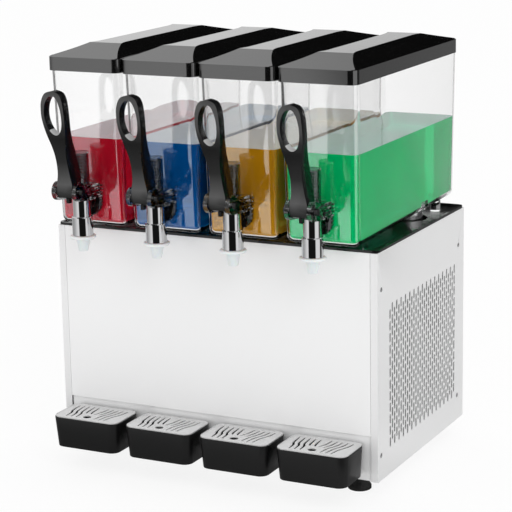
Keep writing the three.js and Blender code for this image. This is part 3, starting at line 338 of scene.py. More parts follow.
# %% Nodes
def feed(tree, socket, value):
    """Sets a socket to a plain value, or links it to the output that is given."""
    if isinstance(value, bpy.types.NodeSocket):
        tree.links.new(value, socket)
    else:
        socket.default_value = value


def add_node(tree, kind, values=None, **settings):
    node = tree.nodes.new(f"ShaderNode{kind}")
    for name, setting in settings.items():
        setattr(node, name, setting)
    for key, value in (values or {}).items():
        feed(tree, node.inputs[key], value)
    return node


def math_of(tree, operation, *values):
    """What one Math node makes of its values."""
    return add_node(tree, "Math", dict(enumerate(values)), operation=operation).outputs["Value"]


def mix_of(tree, factor, first, second, kind="RGBA"):
    """Blends two colours, or two numbers, by a mask."""
    values = {"Factor": factor, "A": first, "B": second}
    return add_node(tree, "Mix", values, data_type=kind).outputs["Result"]


def point_on(tree, kind="Object"):
    """A point's place on its piece or, with "Normal", the way that the surface faces there."""
    return add_node(tree, "TexCoord").outputs[kind]


def axes_of(tree, vector):
    """The X, Y and Z of a vector, each as an output."""
    return add_node(tree, "SeparateXYZ", {0: vector}).outputs


def value_ramp(tree, place, stops):
    """A ramp of greys: each stop is a place from 0 to 1 and its brightness."""
    ramp = add_node(tree, "ValToRGB", {"Fac": place})
    elements = ramp.color_ramp.elements
    for element, (at, value) in zip((elements[0], elements[1]), (stops[0], stops[-1])):
        element.position = at
        element.color = (value, value, value, 1)
    for at, value in stops[1:-1]:
        elements.new(at).color = (value, value, value, 1)
    return ramp.outputs["Color"]


# %% [markdown]
# ## Finishes
# Two effects are shared by several finishes, so each is a node group. `grain` stretches noise
# along one axis, which is how brushed metal looks. `mottle` is the fine orange-peel of moulded
# plastic. Both only put out numbers that vary over the surface.

# %% Shared effects
def effect_group(name, detail):
    """Noise of a given size and stretch, spread between a low and a high value."""
    group = bpy.data.node_groups.new(name, "ShaderNodeTree")
    inputs = {"Size": "Float", "Stretch": "Vector", "Low": "Float", "High": "Float"}
    for socket, kind in inputs.items():
        group.interface.new_socket(socket, in_out="INPUT", socket_type=f"NodeSocket{kind}")
    group.interface.new_socket("Value", in_out="OUTPUT", socket_type="NodeSocketFloat")
    entry = group.nodes.new("NodeGroupInput").outputs
    leave = group.nodes.new("NodeGroupOutput")
    scale = add_node(group, "VectorMath", {0: point_on(group), 1: entry["Stretch"]},
                     operation="MULTIPLY")
    noise = add_node(group, "TexNoise", {"Vector": scale.outputs["Vector"], "Scale": entry["Size"],
                                         "Detail": detail})
    spread = add_node(group, "MapRange", {"Value": noise.outputs["Fac"], "To Min": entry["Low"],
                                          "To Max": entry["High"]})
    group.links.new(spread.outputs["Result"], leave.inputs["Value"])
    return group


grain = effect_group("grain", 3)
mottle = effect_group("mottle", 1)

# %% One finish
RELIEF = mm(0.1)  # how deep grain and mottle are


def finish(name, color, roughness, metallic=0, effect=None, size=1, stretch=(1, 1, 1),
           spread=0.05, bump=0.0, **sockets):
    """A Principled finish whose roughness and bump vary with one of the shared effects."""
    material = bpy.data.materials.new(name)
    material.use_nodes = True
    tree = material.node_tree
    shader = tree.nodes["Principled BSDF"]
    sockets.update(Base_Color=(*color, 1), Metallic=metallic, Roughness=roughness)
    for socket, value in sockets.items():
        shader.inputs[socket.replace("_", " ")].default_value = value
    if effect:
        vary = add_node(tree, "Group", {"Size": size, "Stretch": stretch, "Low": roughness - spread,
                                        "High": roughness + spread}, node_tree=effect)
        tree.links.new(vary.outputs["Value"], shader.inputs["Roughness"])
        if bump:
            relief = add_node(tree, "Bump", {"Strength": bump, "Distance": RELIEF,
                                             "Height": vary.outputs["Value"]})
            tree.links.new(relief.outputs["Normal"], shader.inputs["Normal"])
    return material


def feed_finish(material, socket, output):
    """Lets another node feed one of the Principled shader's sockets."""
    tree = material.node_tree
    tree.links.new(output, tree.nodes["Principled BSDF"].inputs[socket])


# %% [markdown]
# ## Metals
# The cabinet is satin stainless steel, rolled and brushed, so its grain runs level along the
# front and upright on the sides. Brushing scatters light as paint does, so these sheets are only
# partly metallic. The spouts are polished chrome.

# %% Metals
LEVEL_GRAIN, UPRIGHT_GRAIN = (0.02, 1, 1), (1, 1, 0.02)
front_steel = finish("front_steel", (0.95, 0.95, 0.952), 0.42, 0.2, grain, 900, LEVEL_GRAIN,
                     bump=0.12)
side_steel = finish("side_steel", (0.90, 0.90, 0.902), 0.36, 0.25, grain, 900, UPRIGHT_GRAIN,
                    bump=0.12)
chrome = finish("chrome", (0.62, 0.62, 0.63), 0.05, 1, grain, 400, (1, 1, 0.1), spread=0.02)
drum_steel = finish("drum_steel", (0.78, 0.78, 0.79), 0.22, 1, grain, 700, UPRIGHT_GRAIN, bump=0.1)
spring_wire = finish("spring_wire", (0.80, 0.80, 0.81), 0.2, 1, grain, 900, spread=0.04)
grid_steel = finish("grid_steel", (0.70, 0.70, 0.70), 0.36, 0.4, grain, 700, (0.03, 1, 1),
                    spread=0.06, bump=0.1)
# The aluminium is painted dark grey: painted shade behind the air slots.
aluminium = finish("aluminium", (0.20, 0.20, 0.21), 0.4, 0.8, grain, 500, (1, 0.05, 1), spread=0.08)
compressor_paint = finish("compressor_paint", (0.02, 0.02, 0.022), 0.42, 0, mottle, 700,
                          spread=0.08, bump=0.2)

# %% [markdown]
# ## Plastics
# Lids and deck are gloss black with a hard lacquered shine, trays satin black, tips milky white.
# The tap bodies are smoky and clear.

# %% Plastics
JET = (0.004, 0.004, 0.004)
gloss_black = finish("gloss_black", JET, 0.07, 0, mottle, 300, spread=0.02, bump=0.02, IOR=2.1)
deck_black = finish("deck_black", JET, 0.14, 0, mottle, 300, spread=0.02, bump=0.02)
satin_black = finish("satin_black", (0.004, 0.004, 0.0042), 0.34, 0, mottle, 900, bump=0.2)
rubber_black = finish("rubber_black", (0.006, 0.006, 0.006), 0.5, 0, mottle, 900, bump=0.3)
tip_white = finish("tip_white", (0.82, 0.82, 0.82), 0.36, 0, mottle, 600, spread=0.04, bump=0.05,
                   Subsurface_Weight=0.2)
clear_tap = finish("clear_tap", (0.38, 0.385, 0.39), 0.02, Transmission_Weight=1.0, IOR=1.49)

# %% [markdown]
# ## Juices
# Each juice is a coloured liquid. Half of the light is scattered back, so that it keeps its hue at
# any depth, and half passes through. Its open surface is painted paler, as painted light falling on
# it, and is a little duller. Its wet front shines most, as the wall's does, so only that gets a coat.

# %% Juices
JUICE_LEVEL, TOP_DEPTH, WET_FRONT = 494.0, 0.3, -14
WET_ROUGHNESS, TOP_ROUGHNESS = 0.02, 0.08
# Each juice's deep colour, the paler colour of its top as painted light, and its specular tint.
JUICES = {"red_juice": ((0.95, 0.012, 0.045), (0.86, 0.42, 0.52), (0.8, 0.6, 0.9, 1)),
          "blue_juice": ((0.0, 0.17, 0.62), (0.35, 0.60, 0.88), (0.1, 0.7, 1.0, 1)),
          "orange_juice": ((1.0, 0.47, 0.01), (0.90, 0.78, 0.45), (0.9, 1.0, 0.35, 1)),
          "green_juice": ((0.0, 0.95, 0.30), (0.21, 0.79, 0.58), (0.05, 0.8, 1.0, 1))}
juices = []
for name, (deep_color, painted_top_light, tint) in JUICES.items():
    liquid = finish(name, deep_color, WET_ROUGHNESS, Transmission_Weight=0.5, IOR=1.4,
                    Specular_Tint=tint, Coat_IOR=2.3, Coat_Roughness=0.02)
    tree = liquid.node_tree
    spot = axes_of(tree, point_on(tree))
    top_low = mm(JUICE_LEVEL - TOP_DEPTH)
    top_face = math_of(tree, "GREATER_THAN", spot["Z"], top_low)
    wet = math_of(tree, "MULTIPLY", math_of(tree, "LESS_THAN", spot["Y"], deep(WET_FRONT)),
                  math_of(tree, "LESS_THAN", spot["Z"], top_low))
    # The open top is painted paler: painted light.
    feed_finish(liquid, "Base Color", mix_of(tree, top_face, (*deep_color, 1), (*painted_top_light, 1)))
    feed_finish(liquid, "Roughness",
                math_of(tree, "MULTIPLY_ADD", top_face, TOP_ROUGHNESS, WET_ROUGHNESS))
    feed_finish(liquid, "Coat Weight", wet)
    juices.append(liquid)

# %% [markdown]
# ## Tanks
# A tank is moulded: it widens a little upwards so that it leaves the mould, and its corners are
# round. A block is tapered, its edges are bevelled, its top is opened and a wall is given to it.
# Its dry front wall shines most, and mirrors the lever before it, so only that gets a coat.

# %% Tank shell
TANK_BASE, TANK_TOP = 365.0, 589.2
TANK_FRONT, TANK_REAR, TANK_HALF = -31.0, 345.0, 58.2
FRONT_DRAFT, REAR_DRAFT, SIDE_DRAFT = 8.0, 2.0, 3.3
FLOOR_RISE, TANK_WALL, TANK_FLOOR, HAIR = 7.0, 3, 4, 0.15
INNER_CORNER, INNER_BOTTOM = 9, 6
DRUM_X, DRUM_Y = 26.0, 225.0
STEM_Z = 402.0  # where the tap's stem goes through the front wall
COAT_DEPTH = 11  # the leaning front wall lies within this

# Each leg's radius, its place across and back, and its number of sides.
LEG_LOW = 357.4
LEGS = [(7.5, -47.2, 285, 32), (7.5, 47.2, 285, 32), (3.5, -50.7, 12, 24), (3.5, 50.7, 12, 24)]

clear_wall = finish("clear_wall", (1, 1, 1), 0.0, Transmission_Weight=1.0, IOR=1.24,
                    Specular_Tint=(0.5, 0.5, 0.5, 1), Coat_IOR=2.0, Coat_Roughness=0.02)
tree = clear_wall.node_tree
spot = axes_of(tree, point_on(tree))
at_front = math_of(tree, "LESS_THAN", spot["Y"], deep(TANK_FRONT + COAT_DEPTH))
dry = math_of(tree, "GREATER_THAN", spot["Z"], mm(JUICE_LEVEL))
feed_finish(clear_wall, "Coat Weight", math_of(tree, "MULTIPLY", at_front, dry))


def floor_at(y):
    return TANK_BASE + FLOOR_RISE * (y - TANK_FRONT) / (TANK_REAR - TANK_FRONT)


def tank_form(name, inset, low, high, corner, bottom):
    """The tank's tapered body between two heights, drawn in by `inset` on every side."""
    def walls(z):
        share = 1 - (z - TANK_BASE) / (TANK_TOP - TANK_BASE)
        return (TANK_HALF - SIDE_DRAFT * share - inset, TANK_FRONT + FRONT_DRAFT * share + inset,
                TANK_REAR - REAR_DRAFT * share - inset)
    body = slab(name, (-1, 1), (0, 1), (low, high))
    for vertex in body.data.vertices:
        upper = vertex.co.z > mm(low + high) / 2
        half, front, rear = walls(high if upper else low)
        y = rear if vertex.co.y > deep(0.5) else front
        climb = 0 if upper else floor_at(y) - TANK_BASE
        height = (high if upper else low) + climb
        vertex.co = (mm(math.copysign(half, vertex.co.x)), deep(y), mm(height))

    def at_floor(edge):
        floor_level = mm(low + FLOOR_RISE + 1)
        return all(v.co.z < floor_level for v in edge.verts) and not is_upright(edge)
    return round_where(round_where(body, is_upright, corner, 7), at_floor, bottom, 5)


tank = tank_form("clear_tank", 0, TANK_BASE, TANK_TOP, 12, 9)
cut(tank, tank_form("tank_inside", TANK_WALL, TANK_BASE + TANK_FLOOR, TANK_TOP + 4,
                    INNER_CORNER, INNER_BOTTOM))
collar_base = floor_at(DRUM_Y)
join(tank,
     pin("collar", "z", 28.5, collar_base + 2, collar_base + 14, (DRUM_X, DRUM_Y), 64),
     *[pin("leg", "z", radius, LEG_LOW, floor_at(y) + 2, (x, y), sides)
       for radius, x, y, sides in LEGS])
cut(tank,
    pin("drum_hole", "z", 25, TANK_BASE - 2, collar_base + 20, (DRUM_X, DRUM_Y), 64),
    pin("stem_hole", "y", 11.3, TANK_FRONT - 2, -15, (0, STEM_Z), 48))
dress_stations(shade(tank, 25), clear_wall, "clear_plastic", "tank", "tank")

# %% [markdown]
# ## Juice in the tanks
# The juice fills the tank from its floor to a level just over half way. A hair of air stays
# between juice and wall, so that the renderer never meets two surfaces in one place.

# %% Juice
juice = tank_form("juice", TANK_WALL + HAIR, TANK_BASE + TANK_FLOOR + HAIR, JUICE_LEVEL,
                  INNER_CORNER - HAIR, INNER_BOTTOM - HAIR)
cut(juice,
    pin("drum_room", "z", 29, TANK_BASE, collar_base + 14.3, (DRUM_X, DRUM_Y), 64),
    pin("drum_space", "z", 23.4, TANK_BASE, 417.5, (DRUM_X, DRUM_Y), 64),
    pin("stirrer_space", "z", 18.4, 416, 427.4, (DRUM_X, DRUM_Y), 64),
    pin("stem_space", "y", 14.5, TANK_FRONT - 5, -16.8, (0, STEM_Z), 48))
dress_stations(shade(juice, 25), juices, None, "tank", None)

# %% [markdown]
# ## Lids
# A lid is a rim with a ridge along its middle to lift it by. Beside the ridge two scoops run to
# the corners. A grid is laid out by the scoop's own rule, given sides and then a skin.

# %% Lid
LID_HALF, LID_FRONT, LID_REAR = 59.3, -36.0, 346.0
LID_RADIUS, RIM_LOW, RIM_TOP = 12.0, 589.5, 609.2
LID_RISE, LID_SLOPE, LID_SCOOP, RIDGE_HALF = 14.3, 68.0, 90.0, 22.0
ACROSS, ALONG = 32, 96
RIDGE_SHARE = 0.5  # of the grid's columns
CROWDING, SCOOP_CURVE, FALL_CURVE = 1.6, 1.5, 1.3
CREASE_REACH, LID_WALL = 2.1, 2.5

clear_selection()
bpy.ops.mesh.primitive_grid_add(x_subdivisions=ACROSS, y_subdivisions=ALONG, size=2)
lid = named("black_lid")
for vertex in lid.data.vertices:
    u, v = vertex.co.x, vertex.co.y
    depth = (1 - abs(v)) ** CROWDING * (LID_REAR - LID_FRONT) / 2
    if abs(depth - LID_SLOPE) < CREASE_REACH:
        depth = LID_SLOPE
    y = LID_FRONT + depth if v < 0 else LID_REAR - depth
    into = max(LID_RADIUS - depth, 0)
    edge = LID_HALF - LID_RADIUS + math.sqrt(LID_RADIUS ** 2 - into ** 2)
    height = LID_RISE * min(depth / LID_SLOPE, 1)
    scoop = max(1 - depth / LID_SCOOP, 0) ** SCOOP_CURVE
    ridge = min(RIDGE_HALF + (LID_HALF - RIDGE_HALF) * scoop, edge - 2)
    if abs(u) < RIDGE_SHARE:
        x, fall = ridge * abs(u) / RIDGE_SHARE, 1
    else:
        out = (abs(u) - RIDGE_SHARE) / (1 - RIDGE_SHARE)
        x, fall = ridge + (edge - ridge) * out, (1 - out) ** FALL_CURVE
    vertex.co = (mm(math.copysign(x, u)), deep(y), mm(RIM_TOP + height * fall))
edit_all(lid)
bpy.ops.mesh.region_to_loop()
bpy.ops.mesh.extrude_region_move(TRANSFORM_OT_translate={"value": (0, 0, mm(RIM_LOW - RIM_TOP))})
bpy.ops.object.mode_set(mode="OBJECT")
finish_with(lid, "SOLIDIFY", thickness=mm(LID_WALL), offset=-1)
soften(lid, 0.9, 3, 50)
dress_stations(shade(lid, 8), gloss_black, "gloss_black", "lid", "lid")

# %% [markdown]
# ## Levers
# Seen from the front a lever is a loop on a waisted neck, and from the side it is a slow S. So
# two plates are cut to those outlines and only what both share is kept, as on a bandsaw. The
# loop's front is painted paler than the neck, and the hub a little paler too: a painted reflection
# of the gloss. The shelf at the foot of the loop faces up and carries a painted highlight.

# %% Lever finish
PIN_Y, PIN_Z, TAP_Y = -84.0, 426.0, -50.0
SHELF_LOW, SHELF_HIGH, SHEEN_LOW, SHEEN_HIGH = PIN_Z + 80, PIN_Z + 92, PIN_Z - 15, PIN_Z + 150
FACES_FRONT, FACES_UP = -0.75, 0.45  # where a normal's Y and Z count as that
# The lever's own black, and the pale grey of the shelf's painted highlight.
LEVER_BASE_BLACK, PAINTED_SHELF_HIGHLIGHT = (0.004, 0.004, 0.0045), (0.55, 0.55, 0.55, 1)
# A painted reflection up the lever's front: each stop is a place from below the hub to over the loop,
# and its grey.
PAINTED_SHEEN = [(0.02, 0.004), (0.09, 0.03), (0.16, 0.08), (0.24, 0.05), (0.36, 0.012), (0.57, 0.003),
          (0.66, 0.012), (0.76, 0.05), (0.93, 0.07), (0.99, 0.04)]
lever_black = finish("lever_black", LEVER_BASE_BLACK, 0.16, 0, mottle, 500, spread=0.03, bump=0.05,
                     Specular_IOR_Level=0.2)
tree = lever_black.node_tree
spot, facing = axes_of(tree, point_on(tree)), axes_of(tree, point_on(tree, "Normal"))
climb = add_node(tree, "MapRange", {"Value": spot["Z"], "From Min": mm(SHEEN_LOW),
                                    "From Max": mm(SHEEN_HIGH)}).outputs["Result"]
in_front = math_of(tree, "LESS_THAN", facing["Y"], FACES_FRONT)
on_top = math_of(tree, "GREATER_THAN", facing["Z"], FACES_UP)
at_shelf = math_of(tree, "MULTIPLY", math_of(tree, "LESS_THAN", spot["Z"], mm(SHELF_HIGH)),
                   math_of(tree, "GREATER_THAN", spot["Z"], mm(SHELF_LOW)))
# Faces that look forward get the painted reflection; the others keep the lever's own black.
front_painted_sheen = mix_of(tree, in_front, (*LEVER_BASE_BLACK, 1), value_ramp(tree, climb, PAINTED_SHEEN))
# Faces that look up at the foot of the loop get a painted highlight.
shelf_highlight = math_of(tree, "MULTIPLY", on_top, at_shelf)
feed_finish(lever_black, "Base Color", mix_of(tree, shelf_highlight, front_painted_sheen, PAINTED_SHELF_HIGHLIGHT))

# %% Lever
LEVER_FRONT_HALF = [(13, -11), (13, 8), (9.75, 26.6), (8.9, 48.7), (11, 66.4), (15.3, 84.8),
                    (18, 103.3), (18.4, 118), (16.6, 133.5), (11, 143.8), (0, 147.5)]
LOOP_WIDE, LOOP_TALL, LOOP_MIDDLE = 13.7, 28.3, 112.5
LOOP_HALF = [(LOOP_WIDE * math.cos(turn), LOOP_MIDDLE + LOOP_TALL * math.sin(turn))
             for turn in map(math.radians, range(-90, 91, 6))]
LEVER_NOSE = [(-11, 0), (-9.8, 11.8), (-11, 27), (-14, 42), (-20, 64.2), (-27.5, 88.5),
              (-32.9, 109.9), (-35, 128.3)]
LEVER_CREST = [(-34.1, 149), (-19.25, 149)]
LEVER_BACK = [(-20, 128.3), (-18.6, 109.9), (-13, 90), (-3, 73), (7, 58.3), (15, 36.9),
              (17, 19.9), (13.5, 6.9), (11, 0), (7.8, -7.8), (0, -11), (-7.8, -7.8)]


def both_sides(half):
    right = [(x, z + PIN_Z) for x, z in half]
    return right + [(-x, z) for x, z in reversed(right) if x > 0.01]


def at_pin(points):
    return [(y + PIN_Y, z + PIN_Z) for y, z in points]


front_view = plate("lever", both_sides(eased(LEVER_FRONT_HALF)), "y", PIN_Y - 60, PIN_Y + 40)
lever_profile = eased(LEVER_NOSE) + LEVER_CREST + eased(LEVER_BACK)
side_view = plate("lever_side", at_pin(lever_profile), "x", -25, 25)
loop = plate("loop", both_sides(LOOP_HALF), "y", PIN_Y - 60, PIN_Y + 40)
lever = cut(combine(front_view, [side_view], "INTERSECT"), loop)
soften(lever, 1.4, 3, 45)
PRONG_INNER, PRONG_OUTER = 4.4, 8.6
HINGE_RADIUS, HINGE_HALF, KNOB_RADIUS, KNOB_INNER, KNOB_OUTER = 3, 20.6, 4.8, 20.3, 24.9
join(lever,
     *[slab("prong", across, (PIN_Y, PIN_Y + 37), (PIN_Z - 2, PIN_Z + 2.5))
       for across in ((PRONG_INNER, PRONG_OUTER), (-PRONG_OUTER, -PRONG_INNER))],
     slab("stop_tab", (-2.5, 2.5), (PIN_Y - 3, PIN_Y + 4), (PIN_Z - 17, PIN_Z - 8)),
     pin("hinge_pin", "x", HINGE_RADIUS, -HINGE_HALF, HINGE_HALF, (PIN_Y, PIN_Z), 32),
     pin("pin_head_a", "x", KNOB_RADIUS, KNOB_INNER, KNOB_OUTER, (PIN_Y, PIN_Z), 32),
     pin("pin_head_b", "x", KNOB_RADIUS, -KNOB_OUTER, -KNOB_INNER, (PIN_Y, PIN_Z), 32))
dress_stations(shade(lever, 30), lever_black, "gloss_black", "lever", "lever")

# %% [markdown]
# ## Tap bodies
# The clear tap body holds everything: a barrel for the spring, two cheeks for the lever's pin and
# a stem through the tank's wall. A ridged nut of black plastic clamps it there.

# %% Tap body
CHEEK_STEPS = 14
SPOUT_BASE, SPOUT_TOP = 356.0, 409.6
BARREL_LOW, BARREL_TOP, BARREL_RADIUS, BARREL_BORE = 427.0, 477.5, 12.4, 10.4
PLATE_Z, PLATE_REAR, PLATE_WALL = SPOUT_TOP + 0.3, -31.25, 3
CHEEK_INNER, CHEEK_OUTER, CHEEK_RADIUS = 13.6, 20, 13.5
STEM_END, STEM_BORE = -17.4, 4
RIB_LOW, RIB_PITCH, RIB_HEIGHT, RIB_REACH = 411, 5, 2.2, 24.5
barrel_front = TAP_Y - BARREL_RADIUS
cheek_round = [(PIN_Y + CHEEK_RADIUS * math.cos(a), PIN_Z + CHEEK_RADIUS * math.sin(a))
               for a in (math.pi * (0.42 + 1.08 * k / CHEEK_STEPS) for k in range(CHEEK_STEPS + 1))]
cheek_outline = [(PLATE_REAR, PLATE_Z), (PLATE_REAR, BARREL_LOW + PLATE_WALL),
                 (barrel_front, BARREL_LOW + 6), *cheek_round, (barrel_front, PLATE_Z)]
between_cheeks = (-CHEEK_OUTER, CHEEK_OUTER)
tap = pin("clear_tap_body", "z", BARREL_RADIUS, BARREL_LOW, BARREL_TOP, (0, TAP_Y), 48)
join(tap,
     plate("cheek_a", cheek_outline, "x", CHEEK_INNER, CHEEK_OUTER),
     plate("cheek_b", cheek_outline, "x", -CHEEK_OUTER, -CHEEK_INNER),
     *[slab(name, between_cheeks, (barrel_front, PLATE_REAR), (low, low + PLATE_WALL))
       for name, low in (("lower_plate", PLATE_Z), ("upper_plate", BARREL_LOW))],
     slab("back_plate", between_cheeks, (PLATE_REAR - PLATE_WALL, PLATE_REAR),
          (PLATE_Z, BARREL_LOW + 2)),
     pin("stem", "y", 11, TAP_Y, STEM_END, (0, STEM_Z), 48),
     pin("stem_flange", "y", 14, STEM_END - 3, STEM_END, (0, STEM_Z), 48),
     *[slab("grip_rib", across, (TAP_Y - 5, PLATE_REAR), (low, low + RIB_HEIGHT))
       for low in (RIB_LOW + RIB_PITCH * level for level in range(4))
       for across in ((-RIB_REACH, 1 - CHEEK_OUTER), (CHEEK_OUTER - 1, RIB_REACH))])
cut(tap,
    pin("barrel_bore", "z", BARREL_BORE, BARREL_LOW - 2, BARREL_TOP - 2, (0, TAP_Y), 48),
    pin("spout_seat", "z", 13.05, SPOUT_BASE - 2, SPOUT_TOP + 0.3, (0, TAP_Y), 48),
    pin("rod_hole", "z", 3.7, PLATE_Z - 2, BARREL_LOW, (0, TAP_Y), 24),
    slab("prong_room", (-9.6, 9.6), (TAP_Y - 14.4, TAP_Y), (PLATE_Z + 3, PIN_Z + 13.4)),
    pin("pin_hole", "x", 3.3, -22, 22, (PIN_Y, PIN_Z), 32),
    pin("stem_bore", "y", STEM_BORE, TAP_Y, -15, (0, STEM_Z), 24))
dress_stations(soften(tap, 0.35), clear_tap, "clear_plastic", "tank", "tap_body")

# %% Clamping nut
NUT_RADIUS, NUT_RIDGE, NUT_RIDGES, NUT_STEPS, NUT_REAR = 20.5, 1.0, 24, 120, -25.22
nut_outline = []
for step in range(NUT_STEPS):
    angle = step / NUT_STEPS * 2 * math.pi
    reach = NUT_RADIUS + NUT_RIDGE * math.cos(NUT_RIDGES * angle)
    nut_outline.append((reach * math.cos(angle), STEM_Z + reach * math.sin(angle)))
nut = plate("tap_nut", nut_outline, "y", TAP_Y + 18.8, NUT_REAR)
cut(nut, pin("nut_thread", "y", 11.2, TAP_Y + 12, NUT_REAR + 2, (0, STEM_Z), 48))
dress_stations(soften(nut, 0.25, 1), gloss_black, "gloss_black", "tank", "tap_body")

# %% [markdown]
# ## Springs and plungers
# The wire is a curve with a round section, wound as wide and as tall as the CAD coil but closer,
# and turned into a mesh.

# %% Spring
COIL_RADIUS, WIRE_RADIUS, COIL_LOW, COIL_HIGH = 7.2, 0.8, 432.9, 474.4
COIL_TURNS, STEPS_PER_TURN, SPRING_TOP = 9, 28, 475.2
curve = bpy.data.curves.new("spring", "CURVE")
curve.dimensions = "3D"
curve.bevel_depth = mm(WIRE_RADIUS)
curve.bevel_resolution = 3
curve.use_fill_caps = True
line = curve.splines.new("POLY")
coil_steps = COIL_TURNS * STEPS_PER_TURN
line.points.add(coil_steps)
for step, point in enumerate(line.points):
    angle = step / STEPS_PER_TURN * 2 * math.pi
    height = COIL_LOW + (COIL_HIGH - COIL_LOW) * step / coil_steps
    point.co = (mm(COIL_RADIUS) * math.cos(angle),
                deep(TAP_Y) + mm(COIL_RADIUS) * math.sin(angle), mm(height), 1)
spring = bpy.data.objects.new("coil_spring", curve)
scene.collection.objects.link(spring)
take(spring)
bpy.ops.object.convert(target="MESH")
spring = bpy.context.object
springs = dress_stations(shade(spring), spring_wire, "spring_steel", "tank", "spring")
for copy, x in zip(springs, STATIONS):
    number = copy.name[-1]
    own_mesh(copy)

# %% Plunger
plunger = turned("plunger_rod", [
    (7.0, 361.0), (7.5, 361.5), (7.5, 370.5), (7.0, 371.0), (3.2, 374.0), (3.2, 428.8),
    (8.9, 428.8), (9.4, 429.3), (9.4, 431.3), (8.9, 431.8), (3.2, 431.8), (3.2, 444.8),
    (2.2, 445.8)], 0, TAP_Y)
dress_stations(shade(plunger), tip_white, "white_plastic", "plunger", "plunger")

# %% [markdown]
# ## Spouts and tips
# A spout is turned from one tube with a wider sleeve at its foot. The tip below it is a flanged
# funnel of soft white plastic.

# %% Spout and tip
spout = turned("chrome_spout", [
    (8.0, 356.0), (14.4, 356.0), (15.0, 356.6), (15.0, 382.6), (14.2, 383.6), (12.75, 383.6),
    (12.75, 409.0), (12.2, 409.6), (3.7, 409.6), (3.7, 406.4), (8.0, 406.4), (8.0, 356.0)],
    0, TAP_Y, 64)
cut(spout, pin("side_port", "y", 4, TAP_Y, TAP_Y + 15, (0, STEM_Z), 24))
dress_stations(shade(spout, 30), chrome, "chrome", "tank", "spout")

tip = turned("white_tip", [
    (5.0, 332.7), (6.4, 332.7), (7.0, 333.4), (10.2, 349.5), (11.4, 351.2), (17.6, 351.6),
    (18.6, 352.2), (19.0, 353.2), (19.0, 354.6), (18.4, 355.4), (17.6, 355.7), (7.7, 355.7),
    (7.7, 360.3), (5.0, 360.3), (5.0, 332.7)], 0, TAP_Y, 64)
dress_stations(shade(tip, 30), tip_white, "white_plastic", "tank", "spout_tip")

# %% [markdown]
# ## Stirrers
# A stirrer stands on the drum's pin: a small hub, a disc and curved vanes.

# %% Stirrer
STIRRER_LOW, HUB_TOP, DISC_TOP = 417.3, 9, 1.6
wheel = [(2.7, 0), (15.6, 0), (16.0, 0.4), (16.0, 1.2), (15.6, DISC_TOP), (5.5, DISC_TOP),
         (5.0, HUB_TOP), (2.7, HUB_TOP), (2.7, 0)]
stirrer = turned("stirrer_wheel", [(radius, STIRRER_LOW + height) for radius, height in wheel],
                 DRUM_X, DRUM_Y)
VANE_LINE, VANE_HALF = [(4.5, 0), (9, 1.4), (13, 1.2), (17.0, 0)], 0.8
near_side = eased([(r, bow + VANE_HALF) for r, bow in VANE_LINE])
far_side = eased([(r, bow - VANE_HALF) for r, bow in VANE_LINE])
for vane in range(3):
    swing = math.radians(120 * vane + 15)
    outline = [(DRUM_X + r * math.cos(swing) - s * math.sin(swing),
                DRUM_Y + r * math.sin(swing) + s * math.cos(swing))
               for r, s in near_side + far_side[::-1]]
    join(stirrer, plate("vane", outline, "z", STIRRER_LOW + 1, STIRRER_LOW + 8))
dress_stations(shade(stirrer, 30), tip_white, "white_plastic", "stirrer", "stirrer")

# %% [markdown]
# ## Drip trays
# A tray is a deep-sided bin with round corners and a little draft. The grid lies on its rim, and
# two tongues behind it go into the cabinet's lower strip.

# %% Drip tray
TRAY_HALF, TRAY_FRONT, TRAY_BACK, TRAY_LOW, TRAY_TOP = 54.5, -70.3, -0.3, 34.5, 80.2
TRAY_MIDDLE, TRAY_WALL, TRAY_DRAFT, TONGUE_X, TONGUE_HALF = -35, 2.4, 3, 34, 1.5


def tray_form(name, inset, low, high, corner):
    """The tray's tapered body, drawn in by `inset`."""
    body = slab(name, (-TRAY_HALF + inset, TRAY_HALF - inset),
                (TRAY_FRONT + inset, TRAY_BACK - inset), (low, high))
    for vertex in body.data.vertices:
        draft = TRAY_DRAFT * (TRAY_TOP - vertex.co.z * 1000) / (TRAY_TOP - TRAY_LOW)
        vertex.co.x -= math.copysign(mm(draft), vertex.co.x)
        if vertex.co.y < deep(TRAY_MIDDLE):
            vertex.co.y += mm(draft)
    return round_where(body, is_upright, corner, 7)


tray = tray_form("black_tray", 0, TRAY_LOW, TRAY_TOP, 13)
cut(tray, tray_form("tray_inside", TRAY_WALL, TRAY_LOW + TRAY_WALL, TRAY_TOP + 3, 10.6))
for x in (-TONGUE_X, TONGUE_X):
    join(tray, slab("tongue", (x - TONGUE_HALF, x + TONGUE_HALF), (TRAY_BACK - TRAY_WALL, 12),
                    (56, 70)))
dress_stations(soften(tray, 0.7, 3, 40), satin_black, "black_plastic", "tray", "drip_tray")

# %% [markdown]
# ## Tray grids
# A pressed plate with two fans of wavy slots, a finger hole between them and a creased border at
# the back and the left. Each slot is an eased outline; its cutter is pushed through the plate.

# %% Tray grid
GRID_LOW, GRID_TOP, GRID_INSET, GRID_RIB_LOW = 80.5, 82.0, 1, 77
LEFT_WAVE = [(0, 12.4), (1.6, 36), (5.2, 45.5), (6.4, 62.4)]
LEFT_SHORT = [(0, 12.2), (1.5, 34), (3.4, 41)]
RIGHT_WAVE = [(0, 12), (-2.7, 27.5), (-9.6, 44.3), (-12.6, 61.8)]
RIGHT_SHORT = [(0, 12), (-2.6, 28.5), (-8, 42)]
SLOT_HALF, SLOT_END = 1.7, 0.6  # a slot narrows at its ends to this share
grid = slab("pressed_grid", (GRID_INSET - TRAY_HALF, TRAY_HALF - GRID_INSET),
            (TRAY_FRONT + GRID_INSET, TRAY_BACK - GRID_INSET), (GRID_LOW, GRID_TOP), 12, 8)
join(grid, *[slab("rib", across, (-57.3, -13.3), (GRID_RIB_LOW, GRID_LOW + 0.75))
             for across in ((-51.5, -50.3), (50.3, 51.5))])


